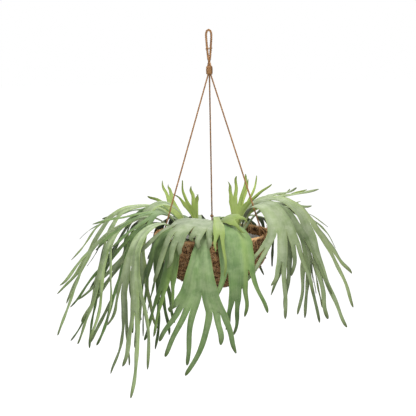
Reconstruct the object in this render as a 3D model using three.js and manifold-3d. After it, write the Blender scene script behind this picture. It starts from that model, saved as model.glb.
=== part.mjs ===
// Staghorn fern in a hanging coir bowl, in millimetres.
// The origin is the point of the hanging loop that a hook bears on; +Z is up and -Y is the front.
// Every frond is one thin arched blade, slit from its tips into strap-shaped fingers. It stands on
// its own petiole in a plain hole in the soil.

import * as THREE from "three";
import Module from "manifold-3d";
import { mergeVertices } from "three/addons/utils/BufferGeometryUtils.js";

const wasm = await Module();
wasm.setup();

// ---------------------------------------------------------------- driving dimensions

const RIM_Z = -480; // the bowl's rim, below the hook
const BOWL = { radius: 140, depth: 133, wall: 6, fullness: 2.15, sides: 36, rings: 7 };
const CLEAR = 0.35; // gap between pieces that touch

const SOIL_DROP = 32; // the soil's surface, below the rim
const HOLE = { radius: 4.8, depth: 24, sides: 8 };
const LINER = { top: 19, bottom: 60, thickness: 0.8, pleats: 16, pleat: 1.1, ragged: 3 };

const CORD = { diameter: 4, anchors: [-30, 210, 90], sides: 8, gather: 2.5 };
const ROPE_RADIUS = 2.75; // each leg of the hanging loop
const WHIPPING = { top: -81, bottom: -101.5, outer: 8.2, bore: 6, sides: 20 };
const LOOP_END = -96.6; // the legs of the loop end here, inside the whipping
const CORD_START = LOOP_END - 1.9; // and the cords' heads, all cut aslant, just below them
const TIE = { holeDrop: 12, holeRadius: 4, ropeRadius: 1.9, knotRadius: 4.6, knotRise: 20 };

const PETIOLE = { halfWidth: 3.4, thickness: 3.4, thinning: 1.5, share: 0.14 };
const BLADE = {
  thickness: 1,
  flare: 1.9, // how late the blade grows from its petiole's width to its own
  droop: 0.1, // how far its edges hang below its midrib, as a share of its half width
  rows: 4, // cross rows from the soil to the first slit
  midribSteps: 960, // steps that measure the midrib's length
};
const FORK = {
  step: 0.08, // slits start at a few levels, this share of the midrib apart
  narrowing: 0.62, // how much less each further fork spreads than the one before it
  lift: 16, // how far a branch may tilt out of the blade, in degrees from end to end
  ease: 0.05, // the share of the midrib over which a branch swings out
  slowing: 0.45, // and how much it straightens again towards its tip
};
const FINGER = {
  halfWidth: 2.2, // plus a share of the blade's own
  share: 0.095,
  parting: 0.045, // the share of the midrib over which a lane narrows to its own finger
  sway: 1.0, // how far a free finger bends aside
  rows: [0.3, 0.62, 0.92, 1], // cross rows from its last slit to its tip
  widths: [1, 0.9, 0.72, 0.3], // and its width at each
};

const TONES = {
  grey: { color: 0x9fb18f, roughness: 0.85 },
  green: { color: 0x86a274, roughness: 0.8 },
  lime: { color: 0xa9bb62, roughness: 0.7 },
};

// Fronds: root is where the petiole leaves the soil (x, y); midrib is the rest of its way (x, y, z).
// half is the blade's half width and full the share of the midrib where it has it; flare is how late it
// widens, where it isn't BLADE.flare. fork is the share at the first level of slits, and spread the
// angle of the widest fork. turn is the twist of the blade about its midrib at the root and at the
// tip, in degrees. slits holds the level of each slit
// (0 to 3) and tips the end of each finger as a share of the midrib, both from the blade's left.
const FRONDS = [
  {
    name: "frond_left_outer", root: [-62, 0], half: 27, full: 0.62, fork: 0.42, spread: 15,
    midrib: [[-114, 5, -426], [-173, 0, -412], [-226, -5, -427], [-269, -10, -477],
      [-302, -15, -544], [-362, -20, -650]],
    turn: [-8, -45], slits: [2, 0, 1, 3, 1], tips: [0.8, 0.92, 0.98, 1, 0.93, 0.82],
  },
  {
    name: "frond_left_second", root: [-58, -20], half: 29, full: 0.62, fork: 0.43, spread: 17,
    midrib: [[-136, -50, -434], [-194, -70, -438], [-241, -80, -474], [-271, -85, -534],
      [-293, -85, -623], [-330, -80, -735]],
    turn: [-10, -44], slits: [1, 3, 0, 2], tips: [0.82, 0.93, 0.97, 0.97, 0.77],
  },
  {
    name: "frond_left_third", root: [-54, -36], half: 26, full: 0.62, fork: 0.42, spread: 20,
    midrib: [[-118, -75, -444], [-170, -97, -453], [-209, -107, -504], [-236, -116, -568],
      [-256, -114, -652], [-280, -108, -738]],
    turn: [-12, -39], slits: [1, 0, 2], tips: [0.84, 0.96, 1, 0.86], tone: "green",
  },
  {
    name: "frond_front_left", root: [-46, -52], half: 40, full: 0.62, fork: 0.5, spread: 16,
    midrib: [[-105, -118, -439], [-148, -164, -442], [-175, -197, -478], [-187, -202, -538],
      [-196, -198, -607], [-208, -188, -704], [-240, -168, -815]],
    flare: 1.3, turn: [-5, -20], slits: [1, 2, 0, 3, 1], tips: [0.84, 0.95, 0.86, 0.92, 1, 0.8],
  },
  {
    name: "frond_left_spray", root: [-60, 18], half: 24, full: 0.6, fork: 0.42, spread: 20,
    midrib: [[-120, 42, -434], [-185, 60, -434], [-250, 72, -458], [-305, 78, -484],
      [-345, 80, -515]],
    turn: [0, -25], slits: [1, 0, 2], tips: [0.86, 1, 0.96, 0.8], tone: "green",
  },
  {
    name: "frond_young_left", root: [-48, 34], half: 24, full: 0.72, fork: 0.68, spread: 24,
    midrib: [[-80, 50, -446], [-120, 72, -410], [-156, 80, -380]],
    turn: [-20, -60], slits: [0, 0, 1], tips: [0.86, 0.95, 0.94, 0.86], tone: "lime",
  },
  {
    name: "frond_young_back_left", root: [-34, 36], half: 23, full: 0.7, fork: 0.66, spread: 30,
    midrib: [[-42, 50, -450], [-54, 62, -412], [-70, 70, -366]],
    turn: [-60, -85], slits: [1, 0, 1], tips: [0.92, 1.04, 0.92, 0.78], tone: "lime",
  },
  {
    name: "frond_left_arch", root: [-48, -8], half: 36, full: 0.64, fork: 0.5, spread: 20,
    midrib: [[-80, -16, -424], [-118, -27, -402], [-152, -34, -420], [-176, -40, -485],
      [-202, -44, -573], [-222, -44, -658], [-240, -40, -763]],
    flare: 1.1, turn: [-10, -60], slits: [2, 0, 1, 2], tips: [0.84, 0.96, 1, 0.9, 0.82],
  },
  {
    name: "frond_front_inner_left", root: [-34, -62], half: 34, full: 0.5, fork: 0.5, spread: 20,
    midrib: [[-64, -120, -452], [-86, -150, -480], [-104, -160, -524], [-128, -160, -590],
      [-146, -152, -658], [-154, -144, -715]],
    flare: 1.0, turn: [0, -10], slits: [1, 2, 0], tips: [0.74, 0.92, 1, 0.88], tone: "green",
  },
  {
    name: "frond_front_left_low", root: [-30, -40], half: 34, full: 0.56, fork: 0.5, spread: 19,
    midrib: [[-70, -70, -458], [-109, -88, -464], [-129, -108, -496], [-137, -116, -544],
      [-141, -120, -604], [-147, -116, -674], [-153, -110, -739]],
    flare: 0.9, turn: [0, -21], slits: [1, 2, 0, 1], tips: [0.8, 0.9, 1, 0.94, 0.82], tone: "green",
  },
  {
    name: "frond_left_back", root: [-44, 14], half: 27, full: 0.64, fork: 0.44, spread: 22,
    midrib: [[-125, 22, -416], [-188, 18, -440], [-227, 14, -520], [-248, 12, -621],
      [-266, 10, -770]],
    turn: [-5, -45], slits: [2, 0, 1, 2], tips: [0.82, 0.95, 1, 0.9, 0.8], tone: "green",
  },
  {
    name: "frond_front_centre", root: [-14, -58], half: 60, full: 0.67, fork: 0.58, spread: 18,
    midrib: [[-18, -110, -444], [-24, -172, -462], [-30, -204, -515], [-34, -208, -588],
      [-42, -196, -684], [-54, -175, -797]],
    flare: 1.5, turn: [0, 0], slits: [1, 1, 0, 1, 1, 1], tips: [0.83, 0.8, 0.97, 0.93, 0.92, 0.84, 0.7],
  },
  {
    name: "frond_front_right", root: [8, -58], half: 42, full: 0.44, fork: 0.6, spread: 16,
    midrib: [[26, -110, -442], [46, -152, -452], [54, -176, -503], [58, -182, -572],
      [63, -178, -636], [66, -168, -710]],
    flare: 1.3, turn: [5, 10], slits: [0, 1, 2, 0], tips: [0.86, 0.88, 0.98, 0.94, 0.8],
  },
  {
    name: "frond_front_top", root: [-6, -22], half: 54, full: 0.42, fork: 0.56, spread: 15,
    midrib: [[-21, -84, -436], [-40, -144, -434], [-62, -196, -452], [-74, -220, -500],
      [-92, -236, -560]],
    flare: 1.2, turn: [0, -10], slits: [0, 1, 0, 2, 1, 0], tips: [0.74, 0.75, 0.7, 0.8, 0.9, 1, 0.96],
  },
  {
    name: "frond_young_right", root: [46, 22], half: 28, full: 0.62, fork: 0.62, spread: 24,
    midrib: [[58, 34, -450], [72, 42, -408], [92, 50, -352]],
    turn: [60, 50], slits: [1, 0, 0, 1], tips: [0.86, 0.96, 1.02, 1, 0.86], tone: "lime",
  },
  {
    name: "frond_right_front", root: [58, -34], half: 38, full: 0.64, fork: 0.56, spread: 18,
    midrib: [[88, -70, -414], [124, -104, -402], [152, -134, -436], [160, -146, -493],
      [156, -146, -563], [142, -138, -655]],
    flare: 0.9, turn: [0, 46], slits: [1, 0, 2, 0, 1], tips: [0.88, 0.8, 1, 0.84, 0.92, 0.74],
  },
  {
    name: "frond_right_outer", root: [64, -10], half: 44, full: 0.66, fork: 0.52, spread: 15,
    midrib: [[101, -12, -413], [151, -20, -397], [205, -30, -422], [238, -34, -482],
      [262, -30, -552], [286, -30, -622], [312, -28, -715]],
    flare: 1.5, turn: [0, 70], slits: [2, 0, 3, 1, 2], tips: [0.81, 0.94, 1, 0.94, 0.9, 0.86],
  },
  {
    name: "frond_young_outward", root: [66, 8], half: 18, full: 0.6, fork: 0.54, spread: 16,
    midrib: [[93, 28, -436], [137, 40, -408], [190, 44, -408], [234, 44, -388]],
    turn: [0, 30], slits: [1, 0], tips: [0.86, 1, 0.9], tone: "lime",
  },
  {
    name: "frond_right_level", root: [48, 2], half: 24, full: 0.6, fork: 0.54, spread: 15,
    midrib: [[100, 12, -414], [156, 12, -406], [210, 10, -406], [262, 8, -400]],
    turn: [0, 48], slits: [1, 0, 2], tips: [0.82, 1, 0.92, 0.84],
  },
  {
    name: "frond_right_spray", root: [64, 26], half: 28, full: 0.6, fork: 0.5, spread: 15,
    midrib: [[123, 54, -434], [188, 74, -434], [250, 82, -464], [292, 82, -510],
      [318, 78, -552]],
    turn: [0, 30], slits: [1, 0, 2], tips: [0.84, 1, 0.94, 0.82], tone: "green",
  },
  {
    name: "frond_right_back", root: [60, 42], half: 36, full: 0.64, fork: 0.5, spread: 15,
    midrib: [[124, 84, -442], [184, 112, -464], [232, 124, -522], [262, 128, -607],
      [280, 124, -700]],
    turn: [0, 40], slits: [2, 0, 1, 2], tips: [0.84, 0.94, 1, 0.9, 0.82], tone: "green",
  },
  {
    name: "frond_young_back_right", root: [42, 40], half: 16, full: 0.6, fork: 0.5, spread: 18,
    midrib: [[74, 70, -450], [106, 84, -412], [138, 92, -374]],
    turn: [30, 50], slits: [1, 0], tips: [0.9, 1, 0.88], tone: "lime",
  },
  {
    name: "frond_right_middle", root: [44, -20], half: 33, full: 0.6, fork: 0.52, spread: 17,
    midrib: [[102, -44, -404], [158, -64, -412], [190, -80, -462], [204, -88, -538],
      [208, -88, -611], [206, -84, -690]],
    turn: [0, 62], slits: [1, 0, 2], tips: [0.88, 1, 0.94, 0.84], tone: "green",
  },
  {
    name: "frond_back_1", root: [30, 52], half: 34, full: 0.56, fork: 0.5, spread: 13,
    midrib: [[64, 82, -462], [106, 116, -458], [144, 146, -478], [164, 164, -530],
      [174, 174, -615]],
    turn: [0, 6], slits: [1, 0, 2], tips: [0.88, 1, 0.95, 0.82], tone: "green",
  },
  {
    name: "frond_back_2", root: [14, 58], half: 34, full: 0.56, fork: 0.5, spread: 13,
    midrib: [[38, 95, -466], [62, 140, -460], [80, 186, -482], [90, 216, -540],
      [94, 228, -630]],
    turn: [0, 0], slits: [2, 0, 1], tips: [0.84, 0.96, 1, 0.86],
  },
  {
    name: "frond_back_3", root: [0, 44], half: 30, full: 0.56, fork: 0.5, spread: 12,
    midrib: [[10, 90, -466], [24, 132, -463], [30, 162, -482], [32, 178, -540],
      [32, 184, -620]],
    turn: [0, 0], slits: [1, 0, 2], tips: [0.86, 1, 0.94, 0.84], tone: "green",
  },
  {
    name: "frond_back_4", root: [-16, 52], half: 34, full: 0.56, fork: 0.5, spread: 13,
    midrib: [[-28, 92, -464], [-38, 138, -458], [-46, 186, -480], [-50, 216, -540],
      [-52, 228, -630]],
    turn: [0, -6], slits: [1, 0, 1], tips: [0.86, 0.96, 1, 0.86],
  },
  {
    name: "frond_back_5", root: [-30, 56], half: 34, full: 0.56, fork: 0.5, spread: 13,
    midrib: [[-56, 92, -464], [-86, 124, -456], [-114, 150, -476], [-128, 166, -536],
      [-134, 174, -620]],
    turn: [0, 0], slits: [2, 0, 1], tips: [0.84, 0.96, 1, 0.88], tone: "green",
  },
  {
    name: "frond_back_6", root: [-44, 50], half: 36, full: 0.56, fork: 0.5, spread: 13,
    midrib: [[-90, 78, -458], [-136, 104, -446], [-180, 126, -468], [-206, 138, -534],
      [-216, 142, -625]],
    turn: [0, 0], slits: [1, 0, 2], tips: [0.86, 1, 0.96, 0.84],
  },
  {
    name: "frond_young_ridge", root: [20, -30], half: 17, full: 0.6, fork: 0.84, spread: 7,
    midrib: [[24, -66, -442], [32, -108, -428], [52, -144, -428], [78, -158, -442]],
    flare: 1.1, turn: [10, 40], slits: [0], tips: [0.98, 1.02], tone: "lime",
  },
  {
    name: "frond_young_front", root: [2, -38], half: 13, full: 0.6, fork: 0.7, spread: 9,
    midrib: [[6, -85, -432], [12, -150, -432], [14, -200, -450], [13, -226, -500],
      [10, -232, -548]],
    turn: [0, 0], slits: [0], tips: [0.98, 0.82], tone: "lime",
  },
  {
    name: "frond_left_fan", root: [-66, -12], half: 26, full: 0.62, fork: 0.52, spread: 20,
    midrib: [[-112, -51, -424], [-162, -95, -426], [-206, -129, -450], [-250, -150, -492]],
    turn: [-6, -30], slits: [1, 0, 1], tips: [0.84, 0.94, 1, 0.9], tone: "green",
  },
];

// ---------------------------------------------------------------- solids

/** A mesh with its own plain material. */
function piece(name, geometry, color, roughness, metalness = 0) {
  const mesh = new THREE.Mesh(
    geometry,
    new THREE.MeshStandardMaterial({ color, roughness, metalness }),
  );
  mesh.name = name;
  return mesh;
}

/** A closed three.js geometry as a solid that can be joined and cut. */
function solid(geometry) {
  const bare = geometry.clone();
  bare.deleteAttribute("normal");
  bare.deleteAttribute("uv");
  const merged = mergeVertices(bare, 1e-4);
  return new wasm.Manifold(
    new wasm.Mesh({
      numProp: 3,
      vertProperties: new Float32Array(merged.attributes.position.array),
      triVerts: new Uint32Array(merged.index.array),
    }),
  );
}

/** The geometry of a joined or cut solid. */
function geometryOf(shape) {
  const mesh = shape.getMesh();
  const geometry = new THREE.BufferGeometry();
  geometry.setAttribute("position", new THREE.Float32BufferAttribute(mesh.vertProperties, 3));
  geometry.setIndex([...mesh.triVerts]);
  geometry.computeVertexNormals();
  return geometry;
}

/** A body turned about the Z axis from a closed profile of [radius, height] pairs. */
function turned(profile, sides) {
  const points = profile.map(([radius, height]) => new THREE.Vector2(radius, height));
  return new THREE.LatheGeometry(points, sides).rotateX(Math.PI / 2);
}

/** A rope along a curve: a round section with flat ends. */
function rope(curve, radius, sides, steps) {
  const section = new THREE.Shape();
  for (let i = 0; i < sides; i += 1) {
    const angle = (2 * Math.PI * i) / sides;
    const corner = [radius * Math.cos(angle), radius * Math.sin(angle)];
    if (i === 0) section.moveTo(...corner);
    else section.lineTo(...corner);
  }
  return new THREE.ExtrudeGeometry(section, { steps, extrudePath: curve, curveSegments: 1 });
}

/** A numbered draw from 0 to 1 that is the same every time. */
function draw(number) {
  const wave = Math.sin(number * 12.9898 + 4.1414) * 43758.5453;
  return wave - Math.floor(wave);
}

// ---------------------------------------------------------------- bowl, liner and soil

/** The bowl's outer radius at a height below its rim, a slightly full half round. */
function bowlRadius(drop, inset = 0) {
  const reach = BOWL.depth - inset;
  const share = Math.min(1, drop / reach);
  return (BOWL.radius - inset) * (1 - share ** BOWL.fullness) ** (1 / BOWL.fullness);
}

/** Points down the bowl's side, inset by a distance, as [radius, drop] pairs. */
function bowlSide(inset) {
  const side = [];
  for (let i = 0; i <= BOWL.rings; i += 1) {
    const drop = (BOWL.depth - inset) * Math.sin((Math.PI / 2) * (i / BOWL.rings));
    side.push([i === BOWL.rings ? 0 : bowlRadius(drop, inset), drop]);
  }
  return side;
}

/** The least radius inside the faceted wall, at a drop. */
function wallInside(drop) {
  const side = bowlSide(BOWL.wall);
  const next = side.findIndex(([, deeper]) => deeper > drop);
  const [[above, from], [below, to]] = [side[next - 1], side[next]];
  const radius = THREE.MathUtils.mapLinear(drop, from, to, above, below);
  return radius * Math.cos(Math.PI / BOWL.sides);
}

/** The coir bowl, open at the top, with a hole for each cord's tie. */
function coirBowl() {
  const below = ([radius, drop]) => [radius, -drop];
  const outer = bowlSide(0).map(below);
  const inner = bowlSide(BOWL.wall).map(below);
  let shell = solid(turned([...outer.reverse(), ...inner], BOWL.sides));
  for (const angle of CORD.anchors) {
    const hole = new THREE.CylinderGeometry(TIE.holeRadius, TIE.holeRadius, 4 * BOWL.wall, 12)
      .rotateZ(Math.PI / 2)
      .translate(BOWL.radius - BOWL.wall / 2, 0, -TIE.holeDrop)
      .rotateZ(THREE.MathUtils.degToRad(angle));
    shell = shell.subtract(solid(hole));
  }
  return piece("coir_bowl", geometryOf(shell), 0x6f4a2e, 0.95);
}

/** The crinkled plastic film between soil and coir, with a ragged top edge. */
function liner() {
  const columns = 3 * LINER.pleats;
  const levels = 2;
  const vertices = [];
  const triangles = [];
  for (let c = 0; c < columns; c += 1) {
    const angle = (2 * Math.PI * c) / columns;
    const pleat = LINER.pleat * (0.5 - 0.5 * Math.cos((2 * Math.PI * c) / 3));
    const top = LINER.top + LINER.ragged * draw(c);
    for (let level = 0; level <= levels; level += 1) {
      const drop = top + ((LINER.bottom - top) * level) / levels;
      const outer = wallInside(drop) - CLEAR - pleat;
      for (const radius of [outer, outer - LINER.thickness]) {
        vertices.push(radius * Math.cos(angle), radius * Math.sin(angle), -drop);
      }
    }
  }
  const at = (c, level, inside) => ((c % columns) * (levels + 1) + level) * 2 + inside;
  const quad = (a, b, c, d) => triangles.push(a, b, c, a, c, d);
  for (let c = 0; c < columns; c += 1) {
    for (let level = 0; level < levels; level += 1) {
      quad(at(c, level, 0), at(c, level + 1, 0), at(c + 1, level + 1, 0), at(c + 1, level, 0));
      quad(at(c, level, 1), at(c + 1, level, 1), at(c + 1, level + 1, 1), at(c, level + 1, 1));
    }
    quad(at(c, 0, 0), at(c + 1, 0, 0), at(c + 1, 0, 1), at(c, 0, 1));
    quad(at(c, levels, 0), at(c, levels, 1), at(c + 1, levels, 1), at(c + 1, levels, 0));
  }
  const geometry = new THREE.BufferGeometry();
  geometry.setAttribute("position", new THREE.Float32BufferAttribute(vertices, 3));
  geometry.setIndex(triangles);
  geometry.computeVertexNormals();
  return piece("liner", geometry, 0xd8d4d0, 0.3);
}

/** The soil that fills the bowl, with a plain hole for each petiole. */
function soil() {
  const film = LINER.pleat + LINER.thickness + 3 * CLEAR;
  const filmFoot = LINER.bottom + CLEAR;
  const profile = [
    [0, -SOIL_DROP],
    [wallInside(LINER.bottom) - film + 3, -SOIL_DROP],
    [wallInside(LINER.bottom) - film, -filmFoot],
    [wallInside(filmFoot) - CLEAR, -filmFoot],
    ...bowlSide(BOWL.wall)
      .filter(([, drop]) => drop > filmFoot)
      .map(([radius, drop]) => [Math.max(0, radius - 3 * CLEAR), 2 * CLEAR - drop]),
  ];
  let body = solid(turned(profile.reverse(), BOWL.sides));
  const holes = FRONDS.map(({ root }) =>
    solid(
      new THREE.CylinderGeometry(HOLE.radius, HOLE.radius, 2 * HOLE.depth, HOLE.sides)
        .rotateX(Math.PI / 2)
        .translate(root[0], root[1], -SOIL_DROP),
    ),
  );
  for (const hole of holes) body = body.subtract(hole);
  return piece("soil", geometryOf(body), 0x2a1f16, 1);
}

// ---------------------------------------------------------------- hanger

/** One leg of the hanging loop: over the top, down one side of the eye, then twisted round the other. */
function loopLeg(side) {
  const eye = [[-1, 2.7], [0, 2.75], [2.4, 2.1], [4.6, -0.8], [6.1, -6.5], [6.1, -14], [5.4, -24],
    [4.7, -34], [4.1, -43], [3.2, -52]];
  const points = eye.map(([x, z]) => new THREE.Vector3(side * x, 0, z));
  const twistFrom = -58;
  const turns = 0.75;
  for (let i = 0; i <= 6; i += 1) {
    const share = i / 6;
    const angle = 2 * Math.PI * turns * share + (side > 0 ? 0 : Math.PI);
    const z = twistFrom + (LOOP_END - twistFrom) * share;
    points.push(new THREE.Vector3(2.6 * Math.cos(angle), 2.6 * Math.sin(angle), z));
  }
  return solid(rope(new THREE.CatmullRomCurve3(points), ROPE_RADIUS, 8, 22));
}

/** The rope loop that goes over the hook. */
function hangingLoop() {
  const shape = loopLeg(1).add(loopLeg(-1));
  return piece("hanging_loop", geometryOf(shape), 0x96734c, 0.95);
}

/** The twine bound round the foot of the loop and the heads of the cords. */
function whipping() {
  const { top, bottom, outer, bore, sides } = WHIPPING;
  const bulge = 0.7;
  const profile = [
    [bore, bottom],
    [outer - bulge, bottom],
    [outer, bottom + 5],
    [outer, top - 5],
    [outer - bulge, top],
    [bore, top],
    [bore, bottom],
  ];
  return piece("whipping", turned(profile, sides), 0x9a7850, 0.95);
}

/** The centre of the knot that ends a cord, in the upright plane of its anchor. */
function knotCentre() {
  const lean = (BOWL.radius - BOWL.wall / 2) / (CORD_START - RIM_Z);
  return [BOWL.radius - BOWL.wall / 2 - TIE.knotRise * lean, TIE.knotRise];
}

/** A cord, taut from inside the whipping to its knot above the rim. */
function cord(name, angle) {
  const [knotOut, knotUp] = knotCentre();
  const head = new THREE.Vector3(CORD.gather, 0, CORD_START);
  const foot = new THREE.Vector3(knotOut, 0, RIM_Z + knotUp);
  const way = head.clone().sub(foot).normalize();
  foot.addScaledVector(way, TIE.knotRadius + CLEAR);
  const line = new THREE.LineCurve3(head, foot);
  const mesh = piece(name, rope(line, CORD.diameter / 2, CORD.sides, 4), 0x9a7850, 0.95);
  mesh.rotation.z = THREE.MathUtils.degToRad(angle);
  return mesh;
}

/** The end of a cord, led through the bowl's wall and back over the rim to its knot. */
function cordTie(name, angle) {
  const [knotOut, knotUp] = knotCentre();
  const middle = BOWL.radius - BOWL.wall / 2;
  const beside = BOWL.wall / 2 + TIE.ropeRadius + 1;
  const side = [
    [knotOut, knotUp],
    [middle + 2.6, 9],
    [middle + beside + 0.4, 0],
    [middle + beside, -7],
    [middle, -TIE.holeDrop - 0.6],
    [middle - beside - 0.9, -7],
    [middle - beside, 0],
    [knotOut - 2.2, 9],
  ];
  const curve = new THREE.CatmullRomCurve3(
    side.map(([out, up]) => new THREE.Vector3(out, 0, up)),
    true,
  );
  const ring = solid(rope(curve, TIE.ropeRadius, 6, 18));
  const knot = new THREE.SphereGeometry(TIE.knotRadius, 8, 6)
    .rotateX(Math.PI / 2)
    .translate(knotOut, 0, knotUp);
  const mesh = piece(name, geometryOf(ring.add(solid(knot))), 0x9a7850, 0.95);
  mesh.rotation.z = THREE.MathUtils.degToRad(angle);
  return mesh;
}

// ---------------------------------------------------------------- fronds

/** Places and frames at even steps along a frond's midrib, from the foot of its petiole. */
function midribOf({ root, midrib, turn }) {
  const foot = new THREE.Vector3(root[0], root[1], RIM_Z - SOIL_DROP - HOLE.depth + CLEAR);
  const ground = new THREE.Vector3(root[0], root[1], RIM_Z - SOIL_DROP);
  const points = [foot, ground, ...midrib.map((point) => new THREE.Vector3(...point))];
  const curve = new THREE.CatmullRomCurve3(points, false, "centripetal");
  curve.arcLengthDivisions = BLADE.midribSteps;
  const tip = points[points.length - 1];
  const heading = Math.atan2(tip.y - root[1], tip.x - root[0]);
  const across = new THREE.Vector3(-Math.sin(heading), Math.cos(heading), 0);
  const length = curve.getLength();
  const at = (share) => {
    const inside = Math.min(1, share);
    const along = curve.getTangentAt(inside);
    const place = curve.getPointAt(inside).addScaledVector(along, (share - inside) * length);
    const side = across.clone().addScaledVector(along, -across.dot(along)).normalize();
    const twist = THREE.MathUtils.degToRad(turn[0] + (turn[1] - turn[0]) * inside);
    side.applyAxisAngle(along, twist);
    return { place, side, up: along.clone().cross(side) };
  };
  return { at, length };
}

/** The flat layout of a frond's fingers: where each lane's two edges lie across the midrib. */
function layout(frond, length, seed) {
  const { half, full, fork, slits, tips, spread, flare = BLADE.flare } = frond;
  const lanes = tips.length;
  const start = slits.map((level) => fork + FORK.step * level);
  const petioleEnd = HOLE.depth / length + PETIOLE.share;
  const fingerHalf = FINGER.halfWidth + FINGER.share * half;

  /** Whether a lane belongs to the part of the blade that a slit divides. */
  const divides = (k, lane) => {
    const [from, to] = lane <= k ? [lane, k] : [k + 1, lane];
    for (let j = from; j < to; j += 1) {
      if (start[j] < start[k] || (start[j] === start[k] && j < k)) return false;
    }
    return true;
  };

  /** How many deeper slits have already divided the blade on either side of each slit. */
  const order = slits.map(
    (level, k) =>
      slits.filter((other, j) => other < level && divides(j, k) && divides(j, k + 1)).length,
  );

  const halfWidth = (share) => {
    const grown = THREE.MathUtils.clamp((share - petioleEnd) / (full - petioleEnd), 0, 1);
    return PETIOLE.halfWidth + (half - PETIOLE.halfWidth) * grown ** flare;
  };
  const lastSlit = (lane) =>
    Math.max(lane > 0 ? start[lane - 1] : 0, lane < lanes - 1 ? start[lane] : 0);
  const swing = (past) =>
    past > 0 ? (past * past * (1 - FORK.slowing * past)) / (past + FORK.ease) : 0;
  const opened = (past) => (past > 0 ? 1 - Math.exp(-past / FINGER.parting) : 0);

  /** How far a lane has moved aside and out of the blade's plane by its forks. */
  const drift = (lane, share) => {
    const moved = { aside: 0, out: 0 };
    for (let k = 0; k < start.length; k += 1) {
      if (!divides(k, lane)) continue;
      const way = lane <= k ? 1 : -1;
      const chance = draw(seed * 31 + k * 7 + (way > 0 ? 3 : 0));
      const widest = spread * FORK.narrowing ** order[k];
      const angle = THREE.MathUtils.degToRad(widest * (0.8 + 0.4 * chance));
      const lift = THREE.MathUtils.degToRad(FORK.lift * (chance - 0.5));
      const reach = length * swing(share - start[k]);
      moved.aside += way * reach * Math.tan(angle);
      moved.out += reach * Math.tan(lift);
    }
    const free = Math.max(0, share - lastSlit(lane));
    moved.aside += FINGER.sway * (draw(seed * 17 + lane) - 0.5) * length * free * free;
    return moved;
  };

  /** A lane's edge on its +side or -side. */
  const edge = (lane, side, share, narrowed = 1) => {
    const width = halfWidth(share);
    const line = (index) => width * (1 - (2 * index) / lanes);
    const bounded = line(side > 0 ? lane : lane + 1);
    const middle = (line(lane) + line(lane + 1)) / 2;
    const neighbour = side > 0 ? lane - 1 : lane;
    const outer = neighbour < 0 || neighbour >= start.length;
    const since = share - (outer ? lastSlit(lane) : start[neighbour]);
    const finger = middle + side * fingerHalf * narrowed;
    const { aside, out } = drift(lane, share);
    return { across: THREE.MathUtils.lerp(bounded, finger, opened(since)) + aside, out };
  };
  return { lanes, start, lastSlit, edge, petioleEnd };
}

/** A frond: one thin blade, its lanes joined up to their slits and free beyond them. */
function frondGeometry(frond, seed) {
  const { at, length } = midribOf(frond);
  const { lanes, start, lastSlit, edge, petioleEnd } = layout(frond, length, seed);
  const ground = HOLE.depth / length;
  const rows = [0, ground];
  for (let i = 1; i <= BLADE.rows; i += 1) {
    rows.push(ground + ((frond.fork - ground) * i) / BLADE.rows);
  }
  for (let level = 1; level <= Math.max(...frond.slits); level += 1) {
    rows.push(frond.fork + FORK.step * level);
  }

  const vertices = [];
  const known = new Map();
  const origin = new THREE.Vector3(frond.root[0], frond.root[1], RIM_Z - SOIL_DROP);
  const vertex = (key, share, { across, out }, face) => {
    const name = `${key}/${face}`;
    if (!known.has(name)) {
      const { place, side, up } = at(share);
      const thin = THREE.MathUtils.clamp(1 - share / (1.6 * petioleEnd), 0, 1);
      const thickness =
        BLADE.thickness + (PETIOLE.thickness - BLADE.thickness) * thin ** PETIOLE.thinning;
      const droop = BLADE.droop * frond.half * Math.min(2, (across / frond.half) ** 2);
      const lift = out - droop + (face * thickness) / 2;
      place.addScaledVector(side, across).addScaledVector(up, lift).sub(origin);
      known.set(name, vertices.length / 3);
      vertices.push(place.x, place.y, place.z);
    }
    return known.get(name);
  };

  /** The four corners of a lane's cross row: the +side edge and the -side edge, top and bottom. */
  const crossRow = (lane, row, share, narrowed) => {
    const corners = {};
    for (const side of [1, -1]) {
      const neighbour = side > 0 ? lane - 1 : lane;
      const outer = neighbour < 0 || neighbour >= start.length;
      const joined = !outer && share <= start[neighbour] + 1e-9;
      const key = joined ? `b${neighbour}/${row}` : `l${lane}/${side}/${row}`;
      const spot = edge(lane, side, share, narrowed);
      const letter = side > 0 ? "left" : "right";
      corners[letter] = { top: vertex(key, share, spot, 1), bottom: vertex(key, share, spot, -1) };
      corners[letter].joined = joined;
    }
    return corners;
  };

  const triangles = [];
  const quad = (a, b, c, d) => triangles.push(a, b, c, a, c, d);
  for (let lane = 0; lane < lanes; lane += 1) {
    const last = lastSlit(lane);
    const mine = rows
      .filter((share) => share <= last + 1e-9)
      .map((share, row) => crossRow(lane, row, share, 1));
    FINGER.rows.forEach((part, i) => {
      const share = last + (frond.tips[lane] - last) * part;
      mine.push(crossRow(lane, `free${i}`, share, FINGER.widths[i]));
    });
    for (let row = 1; row < mine.length; row += 1) {
      const [from, to] = [mine[row - 1], mine[row]];
      quad(from.left.top, from.right.top, to.right.top, to.left.top);
      quad(from.left.bottom, to.left.bottom, to.right.bottom, from.right.bottom);
      if (!to.left.joined) quad(from.left.top, to.left.top, to.left.bottom, from.left.bottom);
      if (!to.right.joined) {
        quad(from.right.top, from.right.bottom, to.right.bottom, to.right.top);
      }
    }
    const [first, end] = [mine[0], mine[mine.length - 1]];
    quad(first.left.top, first.left.bottom, first.right.bottom, first.right.top);
    quad(end.left.top, end.right.top, end.right.bottom, end.left.bottom);
  }
  const geometry = new THREE.BufferGeometry();
  geometry.setAttribute("position", new THREE.Float32BufferAttribute(vertices, 3));
  geometry.setIndex(triangles);
  geometry.computeVertexNormals();
  return geometry;
}

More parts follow.
